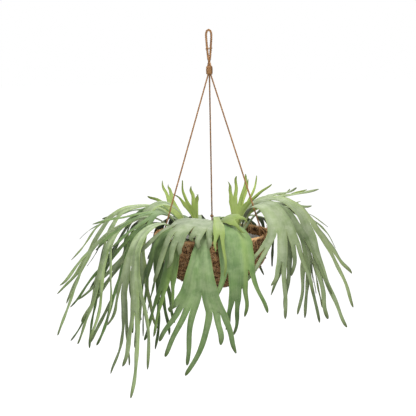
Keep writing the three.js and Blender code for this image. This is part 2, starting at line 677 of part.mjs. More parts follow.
/** A frond's mesh, placed where its petiole leaves the soil. */
function frondPiece(frond, index) {
  const { color, roughness } = TONES[frond.tone ?? "grey"];
  const mesh = piece(frond.name, frondGeometry(frond, index + 1), color, roughness);
  mesh.position.set(frond.root[0], frond.root[1], RIM_Z - SOIL_DROP);
  return mesh;
}

// ---------------------------------------------------------------- the whole

const fern = new THREE.Group();
fern.name = "staghorn_fern";

const hanger = new THREE.Group();
hanger.add(hangingLoop(), whipping());
const SIDES = ["front_right", "front_left", "back"];
CORD.anchors.forEach((angle, i) => hanger.add(cord(`cord_${SIDES[i]}`, angle)));

const pot = new THREE.Group();
pot.position.z = RIM_Z;
pot.add(coirBowl(), liner(), soil());
CORD.anchors.forEach((angle, i) => pot.add(cordTie(`cord_tie_${SIDES[i]}`, angle)));

const plant = new THREE.Group();
FRONDS.forEach((frond, i) => plant.add(frondPiece(frond, i)));

fern.add(hanger, pot, plant);

export default fern;
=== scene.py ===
"""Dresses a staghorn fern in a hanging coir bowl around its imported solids.

Sizes are in millimetres, in the frame of the solids: the origin is the point of the hanging loop that a
hook bears on, +Z is up and -Y is the front. A mesh is scaled to metres as it is made.
"""

import logging
import math
from dataclasses import dataclass
from enum import Enum
from typing import Sequence

import bpy
import numpy as np
from mathutils import Euler, Matrix, Vector, noise

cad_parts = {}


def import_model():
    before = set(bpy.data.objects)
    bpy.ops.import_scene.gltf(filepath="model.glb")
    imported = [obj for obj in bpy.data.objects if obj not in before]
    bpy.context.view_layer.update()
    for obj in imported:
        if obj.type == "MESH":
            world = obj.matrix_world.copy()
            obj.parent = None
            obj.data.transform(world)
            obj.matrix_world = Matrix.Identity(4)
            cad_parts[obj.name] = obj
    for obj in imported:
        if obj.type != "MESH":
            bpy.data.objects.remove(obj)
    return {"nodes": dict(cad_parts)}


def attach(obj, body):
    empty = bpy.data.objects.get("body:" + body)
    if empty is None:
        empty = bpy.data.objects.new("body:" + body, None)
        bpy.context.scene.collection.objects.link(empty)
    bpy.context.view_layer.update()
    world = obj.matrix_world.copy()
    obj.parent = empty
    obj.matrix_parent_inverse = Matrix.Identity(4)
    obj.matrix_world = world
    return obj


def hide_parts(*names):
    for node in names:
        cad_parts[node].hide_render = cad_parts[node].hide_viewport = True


Colour = tuple[float, float, float]
Point = tuple[float, float, float]

MM = 0.001
RIM_Z = -480.0  # the bowl's rim, below the hook
BOWL_RADIUS = 140.0
WALL = 6.0
SOIL_DROP = 32.0  # the soil's surface, below the rim
CLEAR = 0.35  # the gap between solids that touch
LOG = logging.getLogger("staghorn_fern")


def tint(red: int, green: int, blue: int) -> Colour:
    """Turns a screen colour of 0 to 255 a channel into the linear one that the shaders take.

    Args:
        red: The red channel.
        green: The green channel.
        blue: The blue channel.

    Returns:
        The linear colour.
    """
    def linear(channel: int) -> float:
        """One channel, from screen to linear."""
        share = channel / 255
        return share / 12.92 if share <= 0.04045 else ((share + 0.055) / 1.055) ** 2.4

    return linear(red), linear(green), linear(blue)


def draw(number: float) -> float:
    """A numbered draw from 0 to 1 that is the same every time."""
    wave = math.sin(number * 12.9898 + 4.1414) * 43758.5453
    return wave - math.floor(wave)


def mix(start: float | np.ndarray, end: float | np.ndarray, share: float | np.ndarray) -> np.ndarray:
    """The value a share of the way from start to end."""
    return start + (end - start) * share


def roughness_field(points: np.ndarray, grain: float, octaves: int, seed: float) -> np.ndarray:
    """Fractal noise of about -1 to 1 at each of many points.

    Args:
        points: The points, one row each.
        grain: The size of the largest lumps.
        octaves: How many finer layers there are.
        seed: Moves the noise to another place.

    Returns:
        One value for each point.
    """
    shift = Vector((seed * 7.3, seed * 3.1, seed * 5.7))
    return np.array([
        noise.fractal(Vector(point) / grain + shift, 0.9, 2.0, octaves) for point in points.tolist()
    ])


# ---------------------------------------------------------------- node trees as expressions


class Term:
    """An output of a node that takes part in expressions: each operator adds its own node."""

    def __init__(self, graph: "Graph", socket: bpy.types.NodeSocket) -> None:
        """Keeps the socket and the tree that it belongs to."""
        self.graph = graph
        self.socket = socket

    @property
    def is_vector(self) -> bool:
        """Whether the output is a vector or a colour."""
        return self.socket.type in {"VECTOR", "RGBA"}

    def sibling(self, name: str) -> "Term":
        """Another output of the same node."""
        return Term(self.graph, self.socket.node.outputs[name])

    def part(self, axis: str) -> "Term":
        """One of a vector's three numbers: X, Y or Z."""
        return self.graph.add("ShaderNodeSeparateXYZ", inputs={0: self}).sibling(axis)

    def __add__(self, value: "Operand") -> "Term":
        """self + value."""
        return self.graph.maths("ADD", self, value)

    def __radd__(self, value: "Operand") -> "Term":
        """value + self."""
        return self.graph.maths("ADD", value, self)

    def __sub__(self, value: "Operand") -> "Term":
        """self - value."""
        return self.graph.maths("SUBTRACT", self, value)

    def __rsub__(self, value: "Operand") -> "Term":
        """value - self."""
        return self.graph.maths("SUBTRACT", value, self)

    def __mul__(self, value: "Operand") -> "Term":
        """self * value."""
        return self.graph.maths("MULTIPLY", self, value)

    def __rmul__(self, value: "Operand") -> "Term":
        """value * self."""
        return self.graph.maths("MULTIPLY", value, self)

    def __truediv__(self, value: "Operand") -> "Term":
        """self / value."""
        return self.graph.maths("DIVIDE", self, value)

    def __pow__(self, value: "Operand") -> "Term":
        """self ** value."""
        return self.graph.maths("POWER", self, value)

    def __gt__(self, value: "Operand") -> "Term":
        """1 where self > value, or else 0."""
        return self.graph.maths("GREATER_THAN", self, value)

    def sine(self) -> "Term":
        """The sine of an angle in radians."""
        return self.graph.maths("SINE", self)

    def cosine(self) -> "Term":
        """The cosine of an angle in radians."""
        return self.graph.maths("COSINE", self)

    def ramp(self, low: float, high: float) -> "Term":
        """Rises smoothly from 0 at low to 1 at high, or falls where low is the greater."""
        return self.graph.add(
            "ShaderNodeMapRange", {"interpolation_type": "SMOOTHSTEP"},
            {0: self, 1: low, 2: high},
        )


Operand = Term | float | tuple


class Graph:
    """A node tree that is written as Python expressions."""

    def __init__(self, tree: bpy.types.NodeTree) -> None:
        """Empties the tree and keeps it."""
        self.tree = tree
        tree.nodes.clear()

    def add(self, kind: str, settings: dict | None = None, inputs: dict | None = None,
            output: str | int = 0) -> Term:
        """Adds any node.

        Args:
            kind: The node's type.
            settings: Its properties, which are set first.
            inputs: The value or the term for each socket, by the socket's name or place.
            output: The output that is given back, by its name or place.

        Returns:
            The output as a term.
        """
        node = self.tree.nodes.new(kind)
        for key, value in (settings or {}).items():
            setattr(node, key, value)
        for key, value in (inputs or {}).items():
            self.feed(node.inputs[key], value)
        return Term(self, node.outputs[output])

    def feed(self, socket: bpy.types.NodeSocket, value: object) -> None:
        """Links a term, or several, to a socket, or sets the socket's own value.

        Args:
            socket: The socket.
            value: A term, a list of terms, a number, a tuple or a data block.
        """
        if isinstance(value, Term):
            self.tree.links.new(value.socket, socket)
        elif isinstance(value, list):
            for term in reversed(value):
                self.tree.links.new(term.socket, socket)
        elif socket.type == "RGBA":
            socket.default_value = (*value, 1.0)
        elif socket.type == "VECTOR" and not isinstance(value, tuple):
            socket.default_value = (value,) * 3
        else:
            socket.default_value = value

    def maths(self, operation: str, *values: Operand) -> Term:
        """A Math node, or a Vector Math node where a value is a vector or a colour."""
        vector = any(isinstance(v, tuple) or (isinstance(v, Term) and v.is_vector) for v in values)
        kind = "ShaderNodeVectorMath" if vector else "ShaderNodeMath"
        return self.add(kind, {"operation": operation}, dict(enumerate(values)))

    def join(self, x: Operand, y: Operand, z: Operand) -> Term:
        """Three numbers as one vector."""
        return self.add("ShaderNodeCombineXYZ", inputs={0: x, 1: y, 2: z})

    def grain(self, place: Term, scale: float, detail: float = 2.0, rough: float = 0.5) -> Term:
        """Noise of 0 to 1 at a place.

        Args:
            place: Where it is read.
            scale: How many lumps there are to a unit.
            detail: How many finer layers there are.
            rough: How strong the finer layers are.

        Returns:
            The noise.
        """
        return self.add(
            "ShaderNodeTexNoise",
            inputs={"Vector": place, "Scale": scale, "Detail": detail, "Roughness": rough},
        )


# ---------------------------------------------------------------- finishes


class Paint(Graph):
    """A material's node tree, which ends in one principled surface."""

    def __init__(self, name: str) -> None:
        """Makes the material."""
        self.material = bpy.data.materials.new(name)
        self.material.use_nodes = True
        super().__init__(self.material.node_tree)

    def place(self) -> Term:
        """The place on the piece, in millimetres."""
        return self.add("ShaderNodeTexCoord", output="Object") * (1 / MM)

    def mark(self, name: str) -> Term:
        """A number that the mesh carries at each point."""
        return self.add("ShaderNodeAttribute", {"attribute_name": name}, output="Fac")

    def marks(self, name: str) -> Term:
        """A vector that the mesh carries at each point."""
        return self.add("ShaderNodeAttribute", {"attribute_name": name}, output="Vector")

    def blend(self, share: Operand, start: Operand, end: Operand) -> Term:
        """A colour a share of the way from start to end."""
        return self.add(
            "ShaderNodeMix", {"data_type": "RGBA", "clamp_factor": True},
            {0: share, 6: start, 7: end}, output=2,
        )

    def surface(self, colour: Operand, roughness: Operand, height: Term, relief: float,
                **steady: float) -> bpy.types.Material:
        """Ends the tree in a principled surface.

        Args:
            colour: The base colour.
            roughness: The roughness.
            height: The relief's height, of about 0 to 1.
            relief: The height that 1 stands for, in millimetres.
            **steady: Other sockets, by name with _ for a space, that are the same all over.

        Returns:
            The material.
        """
        bump = self.add("ShaderNodeBump", inputs={"Strength": 1.0, "Distance": relief * MM,
                                                  "Height": height})
        shader = self.add(
            "ShaderNodeBsdfPrincipled",
            inputs={"Base Color": colour, "Roughness": roughness, "Normal": bump}
            | {name.replace("_", " "): value for name, value in steady.items()},
        )
        end = self.tree.nodes.new("ShaderNodeOutputMaterial")
        self.feed(end.inputs["Surface"], shader)
        return self.material


@dataclass(frozen=True)
class BladeFinish:
    """A frond's skin: grey down over green, faint lengthwise veins, pale rims and dark tips, with
    painted shade on the underside and painted light on the higher parts.
    """

    name: str
    slot: str
    flesh: Colour
    deep: Colour
    down: Colour
    rim: Colour
    tip: Colour
    cover: float
    roughness: float = 0.62
    vein_spacing: float = 3.1
    rim_width: float = 1.3

    def material(self) -> bpy.types.Material:
        """Makes the material from the marks that a frond's mesh carries."""
        paint = Paint(self.name)
        place = paint.place()
        leaf = paint.marks("leaf_place")
        spots = paint.marks("leaf_mark")
        across, along, face = leaf.part("X"), leaf.part("Y"), leaf.part("Z")
        edge, ripe, chance = spots.part("X"), spots.part("Y"), spots.part("Z")

        flow = paint.join(across * 0.28, along * 0.02, chance * 9)
        drift = paint.grain(flow, 1.0, 3) - 0.5
        streaks = paint.grain(paint.join(across * 0.55, along * 0.016, chance * 5), 1.0, 4, 0.6) - 0.5
        veins = ((across * (2 * math.pi / self.vein_spacing) + drift * 7).sine() * 0.5 + 0.5) ** 4
        patches = paint.grain(place, 0.022, 3)
        felt = paint.grain(place, 1.6, 3, 0.65)
        clouds = paint.grain(place, 0.05, 4, 0.6).ramp(0.3, 0.7)
        # 1 on the top face and 0 on the underside: it paints shade on the underside, with less grey down
        #                                           there and a darker colour.
        lit_upper_side = face * 0.5 + 0.5

        depth = patches * 0.7 + 0.15 + streaks * 0.7
        flesh = paint.blend(depth.ramp(0.28, 0.68), self.deep, self.flesh)
        flesh = paint.blend((streaks * 2.4 + drift).ramp(0.3, 1.1) * 0.2, flesh, self.rim)
        # More grey down higher up is painted light falling on the tops; less down near free edges is the
        # blade's own colour.
        body = edge.ramp(0.0, 11.0) * 0.5 + place.part("Z").ramp(-620, -440) * 0.12 + 0.66
        # The grey down's cover, with painted shade on the underside and painted light higher up.
        down_with_painted_light = (lit_upper_side * 0.5 + 0.5) * self.cover * body * (0.4 + clouds * 0.72) * (0.5 + felt)
        colour = paint.blend(down_with_painted_light * (1 - veins * 0.14), flesh, self.down)
        colour = paint.blend(edge.ramp(self.rim_width, 0.15) * (1 - ripe * 0.6) * 0.5, colour, self.rim)
        colour = paint.blend(chance.ramp(0.78, 1.0) * 0.4, colour, self.rim)
        colour = paint.blend(ripe.ramp(0.3, 1.0) * 0.7, colour, self.tip)
        # Painted shade: the underside is darkened to 56 % of the top.
        colour = colour * ((1 - veins * 0.035) * (lit_upper_side * 0.44 + 0.56) * (0.78 + chance * 0.36))
        relief = veins * 0.22 + felt * 0.45 + streaks * 0.4
        return paint.surface(
            colour, felt * 0.16 + (self.roughness - 0.08), relief, 0.16,
            Specular_IOR_Level=0.36, Sheen_Weight=0.3, Sheen_Roughness=0.35,
        )


@dataclass(frozen=True)
class JuteFinish:
    """Twisted jute: pale and dark yarn fibres that run along each strand."""

    name: str
    slot: str
    dark: Colour
    tan: Colour
    straw: Colour

    def material(self) -> bpy.types.Material:
        """Makes the material from the marks that a rope's mesh carries."""
        paint = Paint(self.name)
        lay = paint.marks("lay")
        around = paint.mark("around")
        along, strand = lay.part("X"), lay.part("Y")
        turned = around + along * 0.03
        yarn = paint.join(along * 0.12, turned * 9, strand * 3.7)
        fibres = paint.grain(yarn, 1.0, 4, 0.7)
        worn = paint.grain(paint.place(), 0.09, 3)
        colour = paint.blend(fibres.ramp(0.32, 0.62), self.dark, self.tan)
        colour = paint.blend(fibres.ramp(0.55, 0.8) * worn.ramp(0.3, 0.7), colour, self.straw)
        colour = paint.blend(worn.ramp(0.62, 0.35) * 0.5, colour, self.dark)
        return paint.surface(colour, fibres * 0.1 + 0.82, fibres, 0.3,
                             Specular_IOR_Level=0.15)


@dataclass(frozen=True)
class CoirFinish:
    """Matted coir: red-brown fibres with painted shade between them, and a painted highlight in
    orange-tan along the rim's top edge.
    """

    name: str
    slot: str
    gap: Colour
    brown: Colour
    rust: Colour
    rim_highlight: Colour
    rim_z: float

    def material(self) -> bpy.types.Material:
        """Makes the material; each fibre carries a shade of its own."""
        paint = Paint(self.name)
        place = paint.place()
        shade = paint.mark("shade")
        mat = paint.grain(place, 0.35, 4, 0.7)
        patches = paint.grain(place, 0.03, 3).ramp(0.3, 0.7)
        clumps = paint.grain(place, 0.12, 4, 0.7).ramp(0.3, 0.7)
        # The lowest tones, on the shell under the fibres and the darkest fibres, take the gap colour:
        # painted shade between the fibres.
        tone = shade * 0.9 + mat * 0.65 + clumps * 0.3 - 0.45
        colour = paint.blend(tone.ramp(0.12, 0.5), self.gap, self.brown)
        colour = paint.blend(tone.ramp(0.45, 0.88) * (patches * 0.5 + 0.5), colour, self.rust)
        # Painted highlight: a lighter orange-tan band along the top edge of the rim.
        height = place.part("Z") + (paint.grain(place, 0.12, 2) - 0.5) * 9
        colour = paint.blend(height.ramp(self.rim_z - 7, self.rim_z - 1) * 0.75, colour, self.rim_highlight)
        return paint.surface(colour, 0.92, mat, 0.8, Specular_IOR_Level=0.12)


@dataclass(frozen=True)
class SoilFinish:
    """Dark potting mix with paler bits of bark."""

    name: str
    slot: str
    dark: Colour
    brown: Colour
    bark: Colour

    def material(self) -> bpy.types.Material:
        """Makes the material; each crumb carries a shade of its own."""
        paint = Paint(self.name)
        place = paint.place()
        grit = paint.grain(place, 0.5, 5, 0.7)
        shade = paint.mark("shade")
        colour = paint.blend(grit.ramp(0.3, 0.72), self.dark, self.brown)
        colour = paint.blend(shade.ramp(0.6, 1.0), colour, self.bark)
        return paint.surface(colour, 0.95, grit, 1.1, Specular_IOR_Level=0.15)


@dataclass(frozen=True)
class FilmFinish:
    """Crinkled milky film."""

    name: str
    slot: str
    milky: Colour
    grey: Colour

    def material(self) -> bpy.types.Material:
        """Makes the material."""
        paint = Paint(self.name)
        place = paint.place()
        crinkle = paint.grain(place, 0.22, 4, 0.6)
        colour = paint.blend(crinkle.ramp(0.35, 0.65), self.grey, self.milky)
        return paint.surface(colour, 0.28, crinkle, 1.2, Specular_IOR_Level=0.5)


@dataclass(frozen=True)
class FloorFinish:
    """The studio's pale floor."""

    name: str
    pale: Colour
    glow: float

    def material(self) -> bpy.types.Material:
        """Makes the material, which looks whiter than the light that it sends back to the plant."""
        paint = Paint(self.name)
        mottle = paint.grain(paint.place(), 0.004, 2)
        colour = paint.blend(mottle, self.pale, tuple(0.98 * channel for channel in self.pale))
        seen = paint.add("ShaderNodeLightPath", output="Is Camera Ray")
        glow = paint.blend(seen, (0.0, 0.0, 0.0), (1.0, 1.0, 1.0))
        return paint.surface(colour, 0.9, mottle, 0.01, Specular_IOR_Level=0.1,
                             Emission_Color=glow, Emission_Strength=self.glow)


class Tone(Enum):
    """The kinds of frond, by their finish."""

    GREY = BladeFinish(
        "grey_frond", "frond_grey", flesh=tint(130, 150, 92), deep=tint(84, 112, 58),
        down=tint(171, 184, 149), rim=tint(160, 179, 102), tip=tint(78, 88, 46), cover=0.56,
    )
    FRESH = BladeFinish(
        "fresh_frond", "frond_grey", flesh=tint(112, 146, 80), deep=tint(70, 108, 51),
        down=tint(162, 179, 134), rim=tint(150, 173, 90), tip=tint(78, 92, 46), cover=0.5,
    )
    PALE = BladeFinish(
        "pale_frond", "frond_grey", flesh=tint(128, 147, 94), deep=tint(88, 110, 62),
        down=tint(162, 173, 141), rim=tint(154, 168, 101), tip=tint(80, 88, 50), cover=0.6,
    )
    # A greener frond, made darker as painted shade: it goes on the fronds that lie behind or between the
    # others.
    GREEN = BladeFinish(
        "green_frond_painted_shade", "frond_green", flesh=tint(88, 118, 56), deep=tint(42, 70, 30),
        down=tint(136, 158, 108), rim=tint(134, 158, 76), tip=tint(64, 76, 38), cover=0.4,
    )
    SAGE = BladeFinish(
        "sage_frond", "frond_green", flesh=tint(108, 128, 76), deep=tint(62, 86, 44),
        down=tint(156, 168, 132), rim=tint(142, 158, 86), tip=tint(74, 84, 46), cover=0.5,
    )
    ASH = BladeFinish(
        "ash_frond", "frond_grey", flesh=tint(116, 134, 84), deep=tint(76, 98, 54),
        down=tint(157, 168, 136), rim=tint(148, 163, 98), tip=tint(76, 86, 48), cover=0.6,
    )
    MOSS = BladeFinish(
        "moss_frond", "frond_grey", flesh=tint(98, 133, 70), deep=tint(58, 93, 45),
        down=tint(144, 163, 116), rim=tint(142, 165, 86), tip=tint(72, 86, 42), cover=0.46,
    )
    SOFT = BladeFinish(
        "soft_frond", "frond_young", flesh=tint(136, 158, 74), deep=tint(106, 132, 56),
        down=tint(160, 175, 114), rim=tint(162, 180, 92), tip=tint(92, 106, 46), cover=0.36,
    )
    YOUNG = BladeFinish(
        "young_frond", "frond_young", flesh=tint(156, 178, 82), deep=tint(126, 152, 62),
        down=tint(178, 191, 126), rim=tint(180, 195, 100), tip=tint(98, 112, 48), cover=0.3,
        roughness=0.55,
    )


JUTE = JuteFinish("jute_yarn", "jute", dark=tint(118, 84, 54), tan=tint(190, 146, 102),
                  straw=tint(216, 180, 134))
SOIL = SoilFinish("potting_mix", "soil", dark=tint(22, 16, 12), brown=tint(58, 42, 30),
                  bark=tint(122, 88, 58))
FILM = FilmFinish("milky_film", "liner_film", milky=tint(250, 249, 246), grey=tint(206, 204, 200))
FLOOR = FloorFinish("pale_floor", pale=(0.22, 0.22, 0.22), glow=0.93)
# The coir's darkest colour is painted shade between the fibres, and its palest a painted highlight along
# the rim's top.
COIR = CoirFinish("coir_fibre", "coir", gap=tint(54, 36, 22), brown=tint(208, 160, 112),
                  rust=tint(248, 216, 172), rim_highlight=tint(246, 200, 146), rim_z=RIM_Z)


class Wardrobe:
    """The materials, each made once."""

    _made: dict[str, bpy.types.Material] = {}

    @classmethod
    def of(cls, finish: object) -> bpy.types.Material:
        """The material of a finish."""
        if finish.name not in cls._made:
            cls._made[finish.name] = finish.material()
        return cls._made[finish.name]


# ---------------------------------------------------------------- meshes and lines


def make_object(name: str, points: np.ndarray, faces: list, finish: bpy.types.Material | None = None,
                marks: dict[str, np.ndarray] | None = None,
                edges: Sequence[tuple[int, int]] = ()) -> bpy.types.Object:
    """Makes a mesh object at the origin.

    Args:
        name: The object's name.
        points: The vertices in millimetres, one row each.
        faces: The faces, as lists of vertex numbers.
        finish: The material, if it has one.
        marks: Numbers or vectors that the mesh carries at each vertex, by name.
        edges: Loose edges, where the mesh is a line.

    Returns:
        The object, linked to the scene.
    """
    mesh = bpy.data.meshes.new(name)
    mesh.from_pydata((points * MM).tolist(), list(edges), faces)
    for key, values in (marks or {}).items():
        if values.ndim == 2:
            mesh.attributes.new(key, "FLOAT_VECTOR", "POINT").data.foreach_set("vector", values.ravel())
        else:
            mesh.attributes.new(key, "FLOAT", "POINT").data.foreach_set("value", values)
    mesh.polygons.foreach_set("use_smooth", [True] * len(mesh.polygons))
    if finish is not None:
        mesh.materials.append(finish)
    mesh.update()
    made = bpy.data.objects.new(name, mesh)
    bpy.context.scene.collection.objects.link(made)
    return made


def report(piece: bpy.types.Object) -> None:
    """Logs a finished piece."""
    LOG.info("%s: %d faces", piece.name, len(piece.data.polygons))


def settle(piece: bpy.types.Object, slot: str, *nodes: str) -> None:
    """Lets a piece ride on the part and stand for its nodes, whose solids it hides.

    Args:
        piece: The finished piece.
        slot: The record's material slot; it is not used.
        *nodes: The solids that it replaces.
    """
    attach(piece, "root")
    if nodes:
        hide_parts(*nodes)
    report(piece)


class SmoothLine:
    """A centripetal Catmull-Rom line through points, measured along its length."""

    NUDGE = 1e-4

    def __init__(self, points: Sequence[Point], closed: bool = False, divisions: int = 960) -> None:
        """Works out each span's cubic and the length at even steps.

        Args:
            points: The points that the line goes through.
            closed: Whether it comes back to its start.
            divisions: The steps that measure its length.
        """
        stops = np.array(points, dtype=float)
        if closed:
            stops = np.vstack([stops[-1], stops, stops[0], stops[1]])
        else:
            stops = np.vstack([2 * stops[0] - stops[1], stops, 2 * stops[-1] - stops[-2]])
        p0, p1, p2, p3 = stops[:-3], stops[1:-2], stops[2:-1], stops[3:]
        gaps = [np.sqrt(np.linalg.norm(b - a, axis=1))[:, None]
                for a, b in ((p0, p1), (p1, p2), (p2, p3))]
        leave = ((p1 - p0) / gaps[0] - (p2 - p0) / (gaps[0] + gaps[1]) + (p2 - p1) / gaps[1]) * gaps[1]
        enter = ((p2 - p1) / gaps[1] - (p3 - p1) / (gaps[1] + gaps[2]) + (p3 - p2) / gaps[2]) * gaps[1]
        self.cubics = (p1, leave, 3 * (p2 - p1) - 2 * leave - enter, 2 * (p1 - p2) + leave + enter)
        self.places = np.linspace(0, 1, divisions + 1)
        steps = np.linalg.norm(np.diff(self._at(self.places), axis=0), axis=1)
        self.lengths = np.concatenate([[0], np.cumsum(steps)])
        self.length = float(self.lengths[-1])

    def _at(self, place: np.ndarray) -> np.ndarray:
        """The points at places from 0 to 1 in the line's own measure."""
        spans = len(self.cubics[0])
        span = np.minimum((place * spans).astype(int), spans - 1)
        t = (place * spans - span)[:, None]
        c0, c1, c2, c3 = (cubic[span] for cubic in self.cubics)
        return c0 + t * (c1 + t * (c2 + t * c3))

    def _place(self, shares: np.ndarray) -> np.ndarray:
        """The places that lie at shares of the length."""
        return np.interp(shares * self.length, self.lengths, self.places)

    def spots(self, shares: np.ndarray) -> np.ndarray:
        """The points at shares of the length."""
        return self._at(self._place(shares))

    def tangents(self, shares: np.ndarray) -> np.ndarray:
        """The directions at shares of the length."""
        place = self._place(shares)
        ahead = self._at(np.minimum(place + self.NUDGE, 1))
        behind = self._at(np.maximum(place - self.NUDGE, 0))
        return unit(ahead - behind)


def unit(vectors: np.ndarray) -> np.ndarray:
    """Vectors made one long."""
    return vectors / np.linalg.norm(vectors, axis=1)[:, None]


class Socket(Enum):
    """The kinds of named input that a geometry tree takes."""

    SIZE = "NodeSocketFloat"
    COUNT = "NodeSocketInt"


class Grower(Graph):
    """A geometry tree with named inputs that is run once on a host mesh."""

    def __init__(self, name: str) -> None:
        """Makes the tree with the host's geometry going in and one result coming out."""
        super().__init__(bpy.data.node_groups.new(name, "GeometryNodeTree"))
        face = self.tree.interface
        face.new_socket("Host", in_out="INPUT", socket_type="NodeSocketGeometry")
        face.new_socket("Result", in_out="OUTPUT", socket_type="NodeSocketGeometry")
        self.entry = self.tree.nodes.new("NodeGroupInput")
        self.values: dict[str, float | int] = {}

    @property
    def host(self) -> Term:
        """The host's own geometry."""
        return Term(self, self.entry.outputs["Host"])

    def size(self, name: str, millimetres: float) -> Term:
        """A named length, given in millimetres and read in metres."""
        return self._given(name, millimetres * MM, Socket.SIZE)

    def number(self, name: str, value: float) -> Term:
        """A named number without a unit."""
        return self._given(name, float(value), Socket.SIZE)

    def count(self, name: str, value: int) -> Term:
        """A named whole number."""
        return self._given(name, value, Socket.COUNT)

    def _given(self, name: str, value: float | int, kind: Socket) -> Term:
        """Adds an input and notes its value under the socket's identifier."""
        item = self.tree.interface.new_socket(name, in_out="INPUT", socket_type=kind.value)
        self.values[item.identifier] = value
        return Term(self, self.entry.outputs[name])

    def chance(self, low: Operand, high: Operand, seed: Operand) -> Term:
        """A random number for each element, between two bounds."""
        return self.add("FunctionNodeRandomValue", {"data_type": "FLOAT"},
                        {2: low, 3: high, 8: seed}, output=1)

    def shove(self, shape: Term, offset: Term) -> Term:
        """Moves each point by an offset."""
        return self.add("GeometryNodeSetPosition", inputs={"Geometry": shape, "Offset": offset})

    def label(self, shape: Term, name: str, value: Term | float, domain: str = "POINT",
              kind: str = "FLOAT") -> Term:
        """Stores a named mark on a shape."""
        return self.add("GeometryNodeStoreNamedAttribute", {"data_type": kind, "domain": domain},
                        {"Geometry": shape, "Name": name, "Value": value})

    def tube(self, line: Term, radius: Operand, sides: Operand) -> Term:
        """A capped tube along a line, which carries its place around itself."""
        ring = self.add("GeometryNodeCurvePrimitiveCircle", {"mode": "RADIUS"},
                        {"Resolution": sides, "Radius": radius})
        turn = self.add("GeometryNodeSplineParameter", output="Factor")
        ring = self.label(ring, "around", turn)
        return self.add("GeometryNodeCurveToMesh",
                        inputs={"Curve": line, "Profile Curve": ring, "Fill Caps": True})

    def strewn(self, surface: Term, unit_piece: Term, density: Operand, turn: Term, scale: Operand,
               seed: Operand, where: Term | None = None) -> Term:
        """Copies of a piece at random places on a surface, each with a shade of its own.

        Args:
            surface: The mesh that they stand on.
            unit_piece: The piece that is copied.
            density: How many there are to a square metre.
            turn: The rotation of each, from the surface's own upright.
            scale: The size of each.
            seed: What fixes the random draws.
            where: Where they may stand, if not all over.

        Returns:
            The copies as real geometry.
        """
        inputs = {"Mesh": surface, "Density": density, "Seed": seed}
        if where is not None:
            inputs["Selection"] = where
        points = self.add("GeometryNodeDistributePointsOnFaces", {"distribute_method": "RANDOM"}, inputs)
        aimed = self.add("FunctionNodeRotateRotation", {"rotation_space": "LOCAL"},
                         {"Rotation": points.sibling("Rotation"), "Rotate By": turn})
        copies = self.add("GeometryNodeInstanceOnPoints",
                          inputs={"Points": points, "Instance": unit_piece, "Rotation": aimed,
                                  "Scale": scale})
        copies = self.label(copies, "shade", self.chance(0.0, 1.0, seed), "INSTANCE")
        return self.add("GeometryNodeRealizeInstances", inputs={"Geometry": copies})

    def fibre(self, length: Term, points: int) -> Term:
        """A straight fibre along X, ready to be bent."""
        line = self.add("GeometryNodeCurvePrimitiveLine", {"mode": "POINTS"},
                        {"Start": self.join(length * -0.5, 0.0, 0.0),
                         "End": self.join(length * 0.5, 0.0, 0.0)})
        return self.add("GeometryNodeResampleCurve", {"mode": "COUNT"},
                        {"Curve": line, "Count": points})

    def wander(self, amplitude: Operand, scale: float, seed: float) -> Term:
        """A smooth random offset that differs from one fibre to the next."""
        place = self.add("GeometryNodeInputPosition")
        point = self.add("GeometryNodeInputIndex")
        strand = self.add("GeometryNodeCurveOfPoint", inputs={"Point Index": point})
        field = self.add("ShaderNodeTexNoise", {"noise_dimensions": "4D"},
                         {"Vector": place, "W": strand * 0.731 + seed, "Scale": scale, "Detail": 1.0},
                         output="Color")
        return (field - 0.5) * amplitude

    def run(self, host: bpy.types.Object, result: Term, finish: bpy.types.Material) -> None:
        """Ends the tree, runs it on the host and leaves the host with the plain result.

        Args:
            host: The object whose mesh goes in and is replaced.
            result: What the tree makes.
            finish: The material of all of it.
        """
        real = self.add("GeometryNodeRealizeInstances", inputs={"Geometry": result})
        smooth = self.add("GeometryNodeSetShadeSmooth", inputs={"Geometry": real})
        dressed = self.add("GeometryNodeSetMaterial", inputs={"Geometry": smooth, "Material": finish})
        end = self.tree.nodes.new("NodeGroupOutput")
        self.feed(end.inputs["Result"], dressed)
        modifier = host.modifiers.new("grown", "NODES")
        modifier.node_group = self.tree
        for identifier, value in self.values.items():
            modifier[identifier] = value
        graph = bpy.context.evaluated_depsgraph_get()
        mesh = bpy.data.meshes.new_from_object(
            host.evaluated_get(graph), preserve_all_data_layers=True, depsgraph=graph,
        )
        host.modifiers.remove(modifier)
        host.data = mesh


# ---------------------------------------------------------------- rope work


